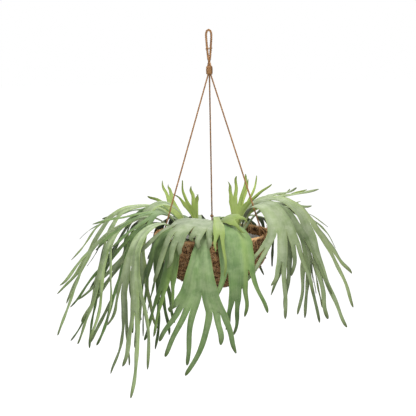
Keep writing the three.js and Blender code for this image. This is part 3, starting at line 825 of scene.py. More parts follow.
@dataclass(frozen=True)
class Rope:
    """A laid rope: twisted strands along a line, with stray hairs."""

    radius: float
    strands: int = 3
    pitch: float = 13.0
    step: float = 1.3
    sides: int = 7
    hairs: float = 60000.0
    hair_length: float = 5.0
    hair_radius: float = 0.07
    seed: int = 1

    def lay(self, name: str, lines: Sequence[tuple[np.ndarray, bool]]) -> bpy.types.Object:
        """Lays the rope along lines.

        Args:
            name: The piece's name.
            lines: For each, its points in millimetres and whether it is closed.

        Returns:
            The finished mesh object.
        """
        points = np.vstack([line for line, _ in lines])
        edges, first = [], 0
        for line, closed in lines:
            edges += [(first + i, first + i + 1) for i in range(len(line) - 1)]
            if closed:
                edges.append((first + len(line) - 1, first))
            first += len(line)
        host = make_object(name, points, [], edges=edges)

        grower = Grower(f"{name}_lay")
        strands = grower.count("Strands", self.strands)
        radius = grower.size("Rope radius", self.radius)
        pitch = grower.size("Pitch", self.pitch)
        step = grower.size("Step", self.step)
        sides = grower.count("Sides", self.sides)
        hairs = grower.number("Hairs to a square metre", self.hairs)
        hair_length = grower.size("Hair length", self.hair_length)
        hair_radius = grower.size("Hair radius", self.hair_radius)
        seed = grower.count("Seed", self.seed)

        share = 1 / (1 + 1 / math.sin(math.pi / self.strands))
        line = grower.add("GeometryNodeMeshToCurve", inputs={"Mesh": grower.host})
        line = grower.add("GeometryNodeResampleCurve", {"mode": "LENGTH"},
                          {"Curve": line, "Length": step})
        copies = grower.add("GeometryNodeDuplicateElements", {"domain": "SPLINE"},
                            {"Geometry": line, "Amount": strands})
        index = copies.sibling("Duplicate Index")
        length = grower.add("GeometryNodeSplineParameter", output="Length")
        turn = (length / pitch + index / strands) * (2 * math.pi)
        normal = grower.add("GeometryNodeInputNormal")
        tangent = grower.add("GeometryNodeInputTangent")
        binormal = grower.maths("CROSS_PRODUCT", tangent, normal)
        marked = grower.label(copies, "lay", grower.join(length * (1 / MM), index, 0.0),
                              kind="FLOAT_VECTOR")
        offset = (normal * turn.cosine() + binormal * turn.sine()) * (radius * (1 - share))
        strand = grower.tube(grower.shove(marked, offset), radius * share, sides)

        tilt = grower.add("FunctionNodeAxisAngleToRotation",
                          inputs={"Axis": grower.join(grower.chance(-1.0, 1.0, seed),
                                                      grower.chance(-1.0, 1.0, seed + 1), 0.2),
                                  "Angle": grower.chance(-0.7, 0.7, seed + 2)})
        fuzz = grower.strewn(strand, grower.fibre(hair_length, 5), hairs, tilt,
                             grower.chance(0.3, 1.0, seed + 3), seed)
        fuzz = grower.shove(fuzz, grower.wander(2.2 * MM, 260.0, 0.3))
        fuzz = grower.tube(fuzz, hair_radius, 3)
        grower.run(host, grower.add("GeometryNodeJoinGeometry", inputs={"Geometry": [strand, fuzz]}),
                   Wardrobe.of(JUTE))
        return host


@dataclass
class Hanger:
    """The rope loop, the whipping, the three cords and their ties through the bowl's wall."""

    rim_z: float = RIM_Z
    anchor_radius: float = BOWL_RADIUS - WALL / 2
    anchors: tuple[tuple[str, float], ...] = (("front_right", -30), ("front_left", 210), ("back", 90))
    loop_radius: float = 2.75
    loop_end: float = -96.6
    twist_from: float = -58.0
    twist_turns: float = 0.75
    twist_radius: float = 2.6
    eye: tuple[tuple[float, float], ...] = (
        (-1, 2.7), (0, 2.75), (2.4, 2.1), (4.6, -0.8), (6.1, -6.5), (6.1, -14), (5.4, -24),
        (4.7, -34), (4.1, -43), (3.2, -52),
    )
    cord_diameter: float = 4.0
    cord_start: float = -98.5
    gather: float = 2.5
    knot_rise: float = 20.0
    knot_radius: float = 4.6
    clear: float = CLEAR
    hole_drop: float = 12.0
    wall: float = WALL
    tie_radius: float = 1.9
    whipping_top: float = -81.0
    whipping_bottom: float = -101.5
    whipping_radius: float = 8.2
    twine_radius: float = 1.25
    crossing_z: float = -39.5

    def build(self) -> None:
        """Builds the cords first, then the loop, the whipping and the ties."""
        for side, angle in self.anchors:
            self._cord(side, math.radians(angle))
        self._loop()
        self._whipping()
        for side, angle in self.anchors:
            self._tie(side, math.radians(angle))

    def _knot(self) -> tuple[float, float]:
        """How far out and up a knot's centre lies, seen from the rim."""
        lean = self.anchor_radius / (self.cord_start - self.rim_z)
        return self.anchor_radius - self.knot_rise * lean, self.knot_rise

    def _upright(self, points: Sequence[tuple[float, float]], angle: float) -> np.ndarray:
        """Points given as distance out and height, in the upright plane at an angle."""
        flat = np.array(points, dtype=float)
        return np.column_stack([flat[:, 0] * math.cos(angle), flat[:, 0] * math.sin(angle), flat[:, 1]])

    def _cord(self, side: str, angle: float) -> None:
        """One taut cord, from inside the whipping to its knot."""
        out, up = self._knot()
        head = np.array([self.gather, self.cord_start])
        foot = np.array([out, self.rim_z + up])
        way = (head - foot) / np.linalg.norm(head - foot)
        foot = foot + way * (self.knot_radius + self.clear)
        steps = [head + (foot - head) * i / 160 for i in range(161)]
        line = self._upright(steps, angle)
        rope = Rope(self.cord_diameter / 2, pitch=13, hair_length=4, seed=3 + round(out))
        cord = rope.lay(f"cord_rope_{side}", [(line, False)])
        settle(cord, JUTE.slot, f"cord_{side}")

    def _loop(self) -> None:
        """The two legs of the loop, with a thin twine round them where they cross."""
        lines = []
        for side in (1, -1):
            points = [(side * x, 0.0, z) for x, z in self.eye]
            for i in range(7):
                share = i / 6
                angle = 2 * math.pi * self.twist_turns * share + (0 if side > 0 else math.pi)
                z = mix(self.twist_from, self.loop_end, share)
                points.append((self.twist_radius * math.cos(angle),
                               self.twist_radius * math.sin(angle), z))
            line = SmoothLine(points).spots(np.linspace(0, 1, 220))
            lines.append((line, False))
        rope = Rope(self.loop_radius, pitch=15, sides=8, step=1.1, hair_length=6, hair_radius=0.09,
                    seed=11)
        loop = rope.lay("loop_rope", lines)
        settle(loop, JUTE.slot, "hanging_loop")

        turn = np.linspace(0, 2 * math.pi, 60, endpoint=False)
        oval = np.column_stack([7.4 * np.cos(turn), 3.4 * np.sin(turn),
                                self.crossing_z + 0.6 * np.cos(turn)])
        lower = oval * (0.99, 0.99, 1) + (0, 0, -1.9)
        seizing = Rope(0.9, strands=2, pitch=6, step=0.9, sides=6, hairs=30000, hair_length=4, seed=17)
        settle(seizing.lay("loop_seizing", [(oval, True), (lower, True)]), JUTE.slot)

    def _whipping(self) -> None:
        """Twine wound round the foot of the loop, turn on turn, over a plain core."""
        turns = 8
        radius = self.whipping_radius - self.twine_radius
        low, high = self.whipping_bottom + self.twine_radius, self.whipping_top - self.twine_radius
        share = np.linspace(0, 1, 48 * turns)
        angle = 2 * math.pi * turns * share
        pinch = radius - 0.6 * np.abs(2 * share - 1) ** 3
        coil = np.column_stack([pinch * np.cos(angle), pinch * np.sin(angle), mix(low, high, share)])
        rope = Rope(self.twine_radius, strands=2, pitch=7, step=1.2, sides=6, hair_length=4, seed=23)
        winding = rope.lay("whipping_twine", [(coil, False)])
        settle(winding, JUTE.slot, "whipping")

        core = lathe_points([(6.1, low - 0.6), (6.7, low), (6.7, high), (6.1, high + 0.6)], 32)
        faces = lathe_faces(4, 32, closed=True)
        sleeve = make_object("whipping_core", core, faces, Wardrobe.of(JUTE))
        settle(sleeve, JUTE.slot)

    def _tie(self, side: str, angle: float) -> None:
        """The end of a cord: a ring through the wall and over the rim, and its knot."""
        out, up = self._knot()
        middle = self.anchor_radius
        beside = self.wall / 2 + self.tie_radius + 1
        ring = [
            (out, up), (middle + 2.6, 9), (middle + beside + 0.4, 0), (middle + beside, -7),
            (middle, -self.hole_drop - 0.6), (middle - beside - 0.9, -7), (middle - beside, 0),
            (out - 2.2, 9),
        ]
        points = self._upright([(r, self.rim_z + z) for r, z in ring], angle)
        loop = SmoothLine(points.tolist(), closed=True).spots(np.linspace(0, 1, 120, endpoint=False))
        turn = np.linspace(0, 2 * math.pi, 140, endpoint=False)
        swell = 1.05 * (2 + np.cos(3 * turn))
        knot = np.column_stack([swell * np.cos(2 * turn), swell * np.sin(2 * turn),
                                1.9 * np.sin(3 * turn)])
        spin = Euler((0.5, 0.9, angle)).to_matrix()
        knot = knot @ np.array(spin).T + self._upright([(out, self.rim_z + up)], angle)
        rope = Rope(self.tie_radius, pitch=11, step=1.1, sides=6, hair_length=4, seed=31)
        settle(rope.lay(f"cord_tie_rope_{side}", [(loop, True), (knot, True)]), JUTE.slot,
               f"cord_tie_{side}")


# ---------------------------------------------------------------- bowl, liner and soil


def lathe_points(profile: Sequence[tuple[float, float]], sides: int) -> np.ndarray:
    """Rings of points about the Z axis, one ring for each [radius, height] pair."""
    angle = np.linspace(0, 2 * math.pi, sides, endpoint=False)
    rings = [np.column_stack([r * np.cos(angle), r * np.sin(angle), np.full(sides, z)])
             for r, z in profile]
    return np.vstack(rings)


def lathe_faces(rings: int, sides: int, closed: bool = False) -> list[tuple[int, ...]]:
    """The quads between rings, with the last joined to the first where it is closed.

    Args:
        rings: How many rings there are.
        sides: The points of a ring.
        closed: Whether the section is a closed outline; it runs counter-clockwise in radius and height.

    Returns:
        The faces, which point outwards.
    """
    faces = []
    for ring in range(rings if closed else rings - 1):
        low, high = ring * sides, (ring + 1) % rings * sides
        for i in range(sides):
            j = (i + 1) % sides
            faces.append((low + i, low + j, high + j, high + i))
    return faces


def lathe_ends(rings: int, sides: int) -> list[tuple[int, ...]]:
    """The two faces that close the first and the last ring."""
    last = (rings - 1) * sides
    return [tuple(range(sides - 1, -1, -1)), tuple(range(last, last + sides))]


@dataclass
class Bowl:
    """The coir bowl, its film liner and its soil.

    pole is how far down its depth the last ring lies, as a share, and solid_sides the facets of the
    bowl's solid, which the liner clears. lumps and pits are the width and height of the mat's relief.
    Densities are numbers to a square metre.
    """

    rim_z: float = RIM_Z
    radius: float = BOWL_RADIUS
    depth: float = 133.0
    wall: float = WALL
    fullness: float = 2.15
    sides: int = 204
    rings: int = 54
    pole: float = 0.99985
    solid_sides: int = 36
    lip: float = 0.9
    lumps: tuple[float, float] = (26.0, 1.3)
    pits: tuple[float, float] = (7.0, 0.9)
    fibre_length: float = 34.0
    fibre_radius: float = 0.52
    fibre_density: float = 12600.0
    loose_density: float = 2100.0
    liner_top: float = 19.0
    liner_bottom: float = 60.0
    liner_thickness: float = 0.8
    liner_pleats: int = 16
    liner_levels: int = 14
    liner_columns: int = 16
    pleat: float = 1.1
    ragged: float = 3.0
    crumb: float = 3.1
    crumb_density: float = 36000.0
    soil_drop: float = SOIL_DROP
    clear: float = CLEAR

    def build(self) -> None:
        """Builds the bowl, the liner and the soil."""
        self._coir()
        self._liner()
        self._soil()

    def side(self, drop: np.ndarray, inset: float = 0.0) -> np.ndarray:
        """The radius at drops below the rim, inset from the outside."""
        share = np.minimum(1, drop / (self.depth - inset))
        return (self.radius - inset) * (1 - share ** self.fullness) ** (1 / self.fullness)

    def _coir(self) -> None:
        """The matted shell, with its fibres lying on it and some standing out."""
        steps = np.sin(math.pi / 2 * np.linspace(0, 1, self.rings))
        steps[-1] = self.pole
        outer = [(r, -d) for r, d in zip(self.side(self.depth * steps), self.depth * steps)]
        deep = self.depth - self.wall
        inner = [(r, -d) for r, d in zip(self.side(deep * steps, self.wall), deep * steps)]
        lip = [(self.radius - self.wall / 2, self.lip)]
        profile = [(r, z + self.rim_z) for r, z in [*outer[::-1], *lip, *inner]]
        points = lathe_points(profile, self.sides)
        rough = (roughness_field(points, self.lumps[0], 3, 4.0) * self.lumps[1]
                 + roughness_field(points, self.pits[0], 2, 9.0) * self.pits[1])
        away = points - (0, 0, self.rim_z)
        points = points + unit(away + 1e-6) * rough[:, None]
        faces = lathe_faces(len(profile), self.sides) + lathe_ends(len(profile), self.sides)
        # The shell under the fibres takes a low shade mark, so the finish paints it as the shade between
        # them.
        shade = np.full(len(points), 0.3)
        shell = make_object("coir_mat", points, faces, marks={"shade": shade})

        grower = Grower("coir_matting")
        seed = grower.count("Seed", 5)
        length = grower.size("Fibre length", self.fibre_length)
        radius = grower.size("Fibre radius", self.fibre_radius)
        dense = grower.number("Fibres to a square metre", self.fibre_density)
        loose = grower.number("Loose fibres to a square metre", self.loose_density)
        surface = grower.host
        flat = self._fibres(grower, surface, length, dense, seed, 0.12, 9 * MM)
        here = grower.add("GeometryNodeInputPosition")
        nearest = grower.add("GeometryNodeProximity", {"target_element": "FACES"},
                             {"Geometry": surface, "Sample Position": here})
        flat = grower.add("GeometryNodeSetPosition", inputs={
            "Geometry": flat, "Position": nearest + (here - nearest) * 0.22})
        stray = self._fibres(grower, surface, length * 0.8, loose, seed + 7, 0.5, 14 * MM)
        tubes = grower.tube(grower.add("GeometryNodeJoinGeometry", inputs={"Geometry": [flat, stray]}),
                            radius, 3)
        whole = grower.add("GeometryNodeJoinGeometry", inputs={"Geometry": [surface, tubes]})
        grower.run(shell, whole, Wardrobe.of(COIR))
        settle(shell, COIR.slot, "coir_bowl")

    @staticmethod
    def _fibres(grower: Grower, surface: Term, length: Term, density: Term, seed: Term, tilt: float,
                wander: float) -> Term:
        """Bent fibres strewn on a surface.

        Args:
            grower: The tree that they are made in.
            surface: The mesh that they lie on.
            length: The length of the longest.
            density: How many there are to a square metre.
            seed: What fixes the random draws.
            tilt: How far they may stand off the surface, in radians.
            wander: How far they bend, in metres.

        Returns:
            The fibres as lines.
        """
        spin = grower.add("FunctionNodeAxisAngleToRotation", inputs={
            "Axis": grower.join(0.0, 0.0, 1.0), "Angle": grower.chance(0.0, 2 * math.pi, seed + 1)})
        lean = grower.add("FunctionNodeAxisAngleToRotation", inputs={
            "Axis": grower.join(0.0, 1.0, 0.0), "Angle": grower.chance(-tilt, tilt, seed + 2)})
        turn = grower.add("FunctionNodeRotateRotation", {"rotation_space": "LOCAL"},
                          {"Rotation": spin, "Rotate By": lean})
        lines = grower.strewn(surface, grower.fibre(length, 7), density, turn,
                              grower.chance(0.45, 1.0, seed + 3), seed)
        return grower.shove(lines, grower.wander(wander, 34.0, 0.7))

    def _liner(self) -> None:
        """The film, with fine creases in its pleats and a ragged top edge."""
        thirds, levels = 3 * self.liner_pleats, self.liner_levels
        columns = thirds * self.liner_columns
        column = np.arange(columns)
        angle = 2 * math.pi * column / columns
        third = column / self.liner_columns
        pleats = self.pleat * (0.5 - 0.5 * np.cos(2 * math.pi * third / 3))
        torn = np.interp(third, range(thirds + 1), [draw(i % thirds) for i in range(thirds + 1)])
        top = self.liner_top + self.ragged * torn + 1.2 * np.sin(third * 7.9) * np.sin(third * 3.1)
        rows = []
        for face in (0.0, self.liner_thickness * 0.5):
            for level in range(levels + 1):
                drop = mix(top, self.liner_bottom, level / levels)
                inside = self.side(drop, self.wall) * math.cos(math.pi / self.solid_sides)
                radius = inside - self.clear - pleats - face
                rows.append(np.column_stack([radius * np.cos(angle), radius * np.sin(angle),
                                             self.rim_z - drop]))
        points = np.vstack(rows)
        crease = roughness_field(points[:columns * (levels + 1)], 9, 3, 2.0) * 0.9
        inward = points * (-1, -1, 0)
        points = points + unit(inward) * np.abs(np.tile(crease, 2))[:, None]
        back, foot = (levels + 1) * columns, levels * columns
        faces = []
        for level in range(levels):
            a, b = level * columns, (level + 1) * columns
            for i in range(columns):
                j = (i + 1) % columns
                faces.append((a + i, b + i, b + j, a + j))
                faces.append((back + a + i, back + a + j, back + b + j, back + b + i))
        for i in range(columns):
            j = (i + 1) % columns
            faces.append((i, j, back + j, back + i))
            faces.append((foot + j, foot + i, back + foot + i, back + foot + j))
        film = make_object("liner_film", points, faces, Wardrobe.of(FILM))
        settle(film, FILM.slot, "liner")

    def _soil(self) -> None:
        """Lumpy potting mix with crumbs and bits of bark on it."""
        sides, rings = 120, 46
        film = self.pleat + self.liner_thickness + 4 * self.clear
        reach = float(self.side(np.array([self.liner_bottom]), self.wall)[0]) - film
        deep = self.depth - self.wall - 1.5
        steps = np.linspace(0, 1, rings)
        top = [(max(0.4, (reach + 3) * share), -self.soil_drop) for share in steps]
        drops = np.linspace(self.liner_bottom + 2, deep * 0.999, 12)
        below = [(max(0.4, r - 2.0), -d) for r, d in zip(self.side(drops, self.wall + 1.5), drops)]
        side = [*below[::-1], (reach, -self.liner_bottom), *top[::-1]]
        profile = [(r, z + self.rim_z) for r, z in side]
        points = lathe_points(profile, sides)
        level = self.rim_z - self.soil_drop
        lumps = roughness_field(points, 24, 4, 6.0) * 3.2
        points[:, 2] += np.where(points[:, 2] > level - 1, lumps - 0.5, 0)
        faces = lathe_faces(len(profile), sides) + lathe_ends(len(profile), sides)
        bed = make_object("soil_bed", points, faces, marks={"shade": np.zeros(len(points))})

        grower = Grower("soil_crumbs")
        seed = grower.count("Seed", 8)
        crumb = grower.size("Crumb size", self.crumb)
        density = grower.number("Crumbs to a square metre", self.crumb_density)
        height = grower.add("GeometryNodeInputPosition").part("Z")
        turn = grower.add("FunctionNodeAxisAngleToRotation", inputs={
            "Axis": grower.join(grower.chance(-1.0, 1.0, seed), grower.chance(-1.0, 1.0, seed + 1), 0.5),
            "Angle": grower.chance(0.0, 2 * math.pi, seed + 2)})
        grain = grower.add("GeometryNodeMeshIcoSphere", inputs={"Radius": crumb, "Subdivisions": 1})
        scale = grower.chance(0.15, 1.0, seed + 3) ** 2.0
        size = grower.join(scale * 1.5, scale * 0.8, scale * 0.45)
        crumbs = grower.strewn(grower.host, grain, density, turn, size, seed,
                               height > (level - 6) * MM)
        bumps = grower.add("ShaderNodeTexNoise", inputs={"Scale": 420.0, "Detail": 1.0}, output="Color")
        crumbs = grower.shove(crumbs, (bumps - 0.5) * (2.2 * MM))
        whole = grower.add("GeometryNodeJoinGeometry", inputs={"Geometry": [grower.host, crumbs]})
        grower.run(bed, whole, Wardrobe.of(SOIL))
        settle(bed, SOIL.slot, "soil")


# ---------------------------------------------------------------- fronds


@dataclass(frozen=True)
class Growth:
    """How one frond grows.

    root is where its petiole leaves the soil, and midrib the rest of its way. half is the blade's half
    width, reached at the share full of the midrib. Slits start at the share fork and at levels beyond
    it; tips are the shares where the lobes end. spread is the angle of the first fork and turn the
    twist at the root and at the tip, in degrees.
    """

    name: str
    tone: Tone
    root: tuple[float, float]
    half: float
    full: float
    fork: float
    spread: float
    midrib: tuple[Point, ...]
    turn: tuple[float, float]
    slits: tuple[float, ...]
    tips: tuple[float, ...]
    flare: float = 1.9


@dataclass
class Side:
    """One side of a lane at each of its rows: how far across and out it lies, and if it is free."""

    across: np.ndarray
    out: np.ndarray
    free: np.ndarray


@dataclass(frozen=True)
class BladeShape:
    """The measures that all the fronds share.

    skirt is the width of the narrow band along a free edge. bow is how far a free lobe swings from side
    to side, wave how far its margins ripple, swell how uneven the blade is, crown how far a lobe's
    middle stands up and curl how far its end may lift. thin_edge is the thickness that a margin loses,
    as a share, and ripe the length of the dark tip. lane_pitch parts the lanes' marks.
    """

    rim_z: float = RIM_Z
    soil_drop: float = SOIL_DROP
    hole_depth: float = 24.0
    clear: float = CLEAR
    petiole_half: float = 3.4
    petiole_thickness: float = 3.4
    petiole_share: float = 0.14
    thickness: float = 1.0
    thinning: float = 1.5
    droop: float = 0.1
    step: float = 0.08
    narrowing: float = 0.62
    lift: float = 16.0
    ease: float = 0.05
    slowing: float = 0.45
    lobe_half: float = 2.2
    lobe_share: float = 0.095
    parting: float = 0.045
    sway: float = 1.0
    row_gap: float = 6.0
    taper: float = 0.34
    tip_round: float = 16.0
    least: float = 0.06
    opening: float = 0.72
    twist: float = 30.0
    skirt: float = 0.7
    bow: float = 5.0
    wave: float = 0.75
    swell: float = 0.8
    crown: float = 1.1
    curl: float = 4.0
    thin_edge: float = 0.45
    ripe: float = 45.0
    lane_pitch: float = 13.0


class Frond:
    """A blade in lanes that run side by side and come apart at the slits into free lobes."""

    SHAPE = BladeShape()
    NEAR_SLIT = (0.0, 0.5, 1.5, 3.0, 4.5)
    NEAR_TIP = (10.0, 8.0, 6.0, 4.2, 2.6, 1.3, 0.5, 0.05)
    TINY = 1e-9
    FAR = 60.0  # stands for the distance to an edge that isn't free
    COLUMNS = 7

    def __init__(self, growth: Growth, seed: int) -> None:
        """Measures the midrib and sets out the slits and the cross rows."""
        self.growth = growth
        self.seed = seed
        shape = self.SHAPE
        root, level = growth.root, shape.rim_z - shape.soil_drop
        foot = (*root, level - shape.hole_depth + shape.clear)
        self.midrib = SmoothLine([foot, (*root, level), *growth.midrib])
        self.length = self.midrib.length
        tip = growth.midrib[-1]
        heading = math.atan2(tip[1] - root[1], tip[0] - root[0])
        self.sideways = np.array([-math.sin(heading), math.cos(heading), 0.0])
        self.lanes = len(growth.tips)
        self.start = [growth.fork + shape.step * slit for slit in growth.slits]
        self.petiole_end = shape.hole_depth / self.length + shape.petiole_share
        self.order = [
            sum(self.start[j] < self.start[k] and self._divides(j, k) and self._divides(j, k + 1)
                for j in range(len(self.start)))
            for k in range(len(self.start))
        ]
        self.rows = self._joined_rows()
        self.points: list[np.ndarray] = []
        self.places: list[np.ndarray] = []
        self.spots: list[np.ndarray] = []
        self.faces: list[tuple[int, ...]] = []

    def build(self) -> None:
        """Makes the frond as one mesh and lets it stand for its solid."""
        seams: dict[int, np.ndarray] = {}
        for lane in range(self.lanes):
            self._lane(lane, seams)
        finish = self.growth.tone.value
        used, faces = np.unique(np.array(self.faces), return_inverse=True)
        faces = faces.reshape(-1, 4).tolist()
        marks = {"leaf_place": np.vstack(self.places)[used], "leaf_mark": np.vstack(self.spots)[used]}
        blade = make_object(f"{self.growth.name}_blade", np.vstack(self.points)[used], faces,
                            Wardrobe.of(finish), marks)
        settle(blade, finish.slot, self.growth.name)

    # -- the flat layout

    def _divides(self, slit: int, lane: int) -> bool:
        """Whether a lane belongs to the part of the blade that a slit divides."""
        low, high = (lane, slit) if lane <= slit else (slit + 1, lane)
        mine = self.start[slit]
        return not any(
            self.start[j] < mine or (self.start[j] == mine and j < slit) for j in range(low, high)
        )

    def _last(self, lane: int) -> float:
        """The share where the last slit beside a lane starts."""
        before = self.start[lane - 1] if lane > 0 else 0
        after = self.start[lane] if lane < self.lanes - 1 else 0
        return max(before, after)

    def _joined_rows(self) -> np.ndarray:
        """The shares of the cross rows that all lanes have, up to the last slit."""
        starts = np.array(sorted(set(self.start)))
        near = (starts[:, None] + np.array(self.NEAR_SLIT) / self.length).ravel()
        near = near[near <= starts[-1] + self.TINY]
        plain = np.arange(0, starts[-1], self.SHAPE.row_gap / self.length)
        apart = np.abs(plain[:, None] - near[None, :]).min(axis=1)
        return np.sort(np.concatenate([plain[apart > 2 / self.length], near]))

    def _free_rows(self, lane: int) -> np.ndarray:
        """The shares of a lane's own rows, from its last slit to its tip."""
        last, tip = self._last(lane), self.growth.tips[lane]
        unit_share = min(1, (tip - last) * self.length / 18) / self.length
        near = last + np.array(self.NEAR_SLIT[1:]) * unit_share
        end = tip - np.array(self.NEAR_TIP) * unit_share
        count = max(1, round((end[0] - near[-1]) * self.length / self.SHAPE.row_gap))
        return np.concatenate([near, np.linspace(near[-1], end[0], count + 1)[1:-1], end])

    def _half_width(self, share: np.ndarray) -> np.ndarray:
        """The blade's half width without its forks."""
        shape, growth = self.SHAPE, self.growth
        grown = np.clip((share - self.petiole_end) / (growth.full - self.petiole_end), 0, 1)
        return shape.petiole_half + (growth.half - shape.petiole_half) * grown ** growth.flare

    def _drift(self, lane: int, share: np.ndarray) -> tuple[np.ndarray, np.ndarray]:
        """How far a lane has moved aside and out of the blade's plane by its forks."""
        shape = self.SHAPE
        aside, out = np.zeros_like(share), np.zeros_like(share)
        for k, start in enumerate(self.start):
            if not self._divides(k, lane):
                continue
            way = 1 if lane <= k else -1
            chance = draw(self.seed * 31 + k * 7 + (3 if way > 0 else 0))
            angle = math.radians(self.growth.spread * shape.narrowing ** self.order[k]
                                 * (0.8 + 0.4 * chance))
            past = np.maximum(0, share - start)
            reach = self.length * past ** 2 * (1 - shape.slowing * past) / (past + shape.ease)
            aside += way * reach * math.tan(angle)
            out += reach * math.tan(math.radians(shape.lift * (chance - 0.5)))
        free = np.maximum(0, share - self._last(lane))
        aside += shape.sway * (draw(self.seed * 17 + lane) - 0.5) * self.length * free ** 2
        return aside, out

    def _side(self, lane: int, way: int, share: np.ndarray) -> Side:
        """A lane's + side or - side at its rows."""
        shape = self.SHAPE
        width = self._half_width(share)
        neighbour = lane - 1 if way > 0 else lane
        outer = not 0 <= neighbour < len(self.start)
        begin = self._last(lane) if outer else self.start[neighbour]
        opened = 1 - np.exp(-np.maximum(0, share - begin) / shape.parting)
        opened = opened ** (1.0 if outer else shape.opening)
        bounded = width * (1 - 2 * (lane if way > 0 else lane + 1) / self.lanes)
        middle = width * (1 - (2 * lane + 1) / self.lanes)
        aside, out = self._drift(lane, share)
        lobe = shape.lobe_half + shape.lobe_share * self.growth.half
        across = mix(bounded, middle + way * lobe, opened) + aside
        return Side(across, out, np.array(outer) | (share > begin + self.TINY))

    # -- the mesh

    def _lane(self, lane: int, seams: dict[int, np.ndarray]) -> None:
        """Adds a lane's vertices, marks and faces.

        Args:
            lane: Its place, from the + side.
            seams: The vertices on the - side of each lane so far, which the next lane shares.
        """
        shape, growth = self.SHAPE, self.growth
        joined = self.rows[self.rows <= self._last(lane) + self.TINY]
        share = np.concatenate([joined, self._free_rows(lane)])
        left, right = self._side(lane, 1, share), self._side(lane, -1, share)

        past = np.maximum(0, share - self._last(lane))
        free = np.clip(past / (growth.tips[lane] - self._last(lane)), 0, 1)
        to_tip = (growth.tips[lane] - share) * self.length
        rounded = np.sqrt(1 - (1 - np.clip(to_tip / shape.tip_round, 0, 1)) ** 2)
        keep = np.maximum(shape.least, (1 - shape.taper * free) * rounded)
        centre = (left.across + right.across) / 2
        half = (left.across - right.across) / 2 * keep

        chance = [draw(self.seed * 53 + lane * 11 + i) for i in range(6)]
        swing = np.sin(2 * math.pi * (free + chance[0])) * free ** 1.3 * (1 - 0.3 * free)
        centre = centre + shape.bow * swing
        t = self._columns(left, right, half)
        offset = half[:, None] * (1 - 2 * t)
        out = mix(left.out[:, None], right.out[:, None], t)

        along = share[:, None] * self.length
        bend = (2 * t - 1) ** 2
        grown = np.clip((share - self.petiole_end) / 0.2, 0, 1)[:, None]
        lobe = grown * np.clip(free * 4, 0.25, 1)[:, None]
        loose = np.where(t < 0.5, left.free[:, None], right.free[:, None])
        waves = (np.sin(along / (7 + 5 * chance[1]) + 9 * chance[2] + 3 * t)
                 + 0.6 * np.sin(along / 15 + 9 * chance[3]))
        out = out + shape.wave * waves * bend * loose * grown
        across = centre[:, None] + offset
        uneven = np.sin(along / 19 + 6 * chance[4])
        out = out + shape.swell * uneven * np.sin(across / 13 + self.seed) * grown
        out = out + shape.crown * (1 - bend) * lobe * (half[:, None] / 6).clip(0, 1)

        angle = np.radians(2 * shape.twist * (chance[5] - 0.5)) * (free ** 2)[:, None]
        across = centre[:, None] + offset * np.cos(angle)
        out = out + offset * np.sin(angle)
        out = out + (shape.curl * (chance[1] - 0.45) * free ** 2.2)[:, None]

        height = growth.half * np.minimum(2, (across / growth.half) ** 2)
        out = out - shape.droop * height
        thin = np.clip(1 - share / (1.6 * self.petiole_end), 0, 1)[:, None] ** shape.thinning
        thick = shape.thickness + (shape.petiole_thickness - shape.thickness) * thin
        brim = np.zeros_like(t)
        brim[:, 0], brim[:, -1] = left.free, right.free
        middle = abs(across) / np.maximum(self._half_width(share)[:, None], 1)
        round_stem = np.sqrt(1 - 0.93 * np.clip(middle, 0, 1) ** 2)
        flat = 1 - shape.thin_edge * brim
        thick = thick * mix(flat, round_stem, np.clip(thin * 2.2, 0, 1)) / 2

        base = sum(len(p) for p in self.points)
        faces = []
        for face in (1, -1):
            faces.append(self._place(share, across, out + face * thick))
        grid = np.stack(faces, axis=2)
        rows = len(share)
        index = base + np.arange(rows * self.COLUMNS * 2).reshape(rows, self.COLUMNS, 2)
        shared = np.zeros(rows, dtype=bool)
        if lane > 0:
            shared = ~left.free
            index[shared, 0] = seams[lane - 1][:shared.sum()]
        seams[lane] = index[:, -1][~right.free]

        self.points.append(grid.reshape(-1, 3))
        edge = np.minimum(np.where(left.free[:, None], t * 2 * half[:, None], self.FAR),
                          np.where(right.free[:, None], (1 - t) * 2 * half[:, None], self.FAR))
        self._mark(lane, t, along, np.minimum(edge, to_tip[:, None] + 0.2), to_tip)
        self._skin(index, left.free, right.free)

    def _columns(self, left: Side, right: Side, half: np.ndarray) -> np.ndarray:
        """Where a lane's points lie across it, from 0 to 1, with a narrow band along each free edge."""
        near = self.SHAPE.skirt / np.maximum(2 * half, 1.5)
        skirt_left, skirt_right = (
            np.where(side.free, np.clip(near, 0.03, 1 / 6), 1 / 6) for side in (left, right)
        )
        ones = np.ones_like(half)
        return np.column_stack([0 * ones, skirt_left, ones / 3, ones / 2, 2 * ones / 3,
                                1 - skirt_right, ones])

    def _mark(self, lane: int, t: np.ndarray, along: np.ndarray, edge: np.ndarray,
              to_tip: np.ndarray) -> None:
        """Notes what the finish reads at each point of a lane.

        Args:
            lane: Its place, from the + side.
            t: Where the points lie across it, from 0 to 1.
            along: How far along the frond each row is.
            edge: How far each point is from a free edge.
            to_tip: How far each row is from the lane's tip.
        """
        ripe = np.clip(1 - to_tip / self.SHAPE.ripe, 0, 1)[:, None] * np.ones_like(t)
        place = np.stack([(lane + t) * self.SHAPE.lane_pitch, along * np.ones_like(t),
                          np.zeros_like(t)], axis=2)
        place = np.repeat(place[:, :, None, :], 2, axis=2)
        place[:, :, 0, 2], place[:, :, 1, 2] = 1, -1
        hues = [draw(self.seed * 71 + i) for i in (lane - 1, lane, lane + 1)]
        hue = np.where(t < 0.5, mix(hues[0], hues[1], t + 0.5), mix(hues[1], hues[2], t - 0.5))
        spot = np.stack([edge, ripe, hue], axis=2)
        spot = np.repeat(spot[:, :, None, :], 2, axis=2)
        self.places.append(place.reshape(-1, 3))
        self.spots.append(spot.reshape(-1, 3))

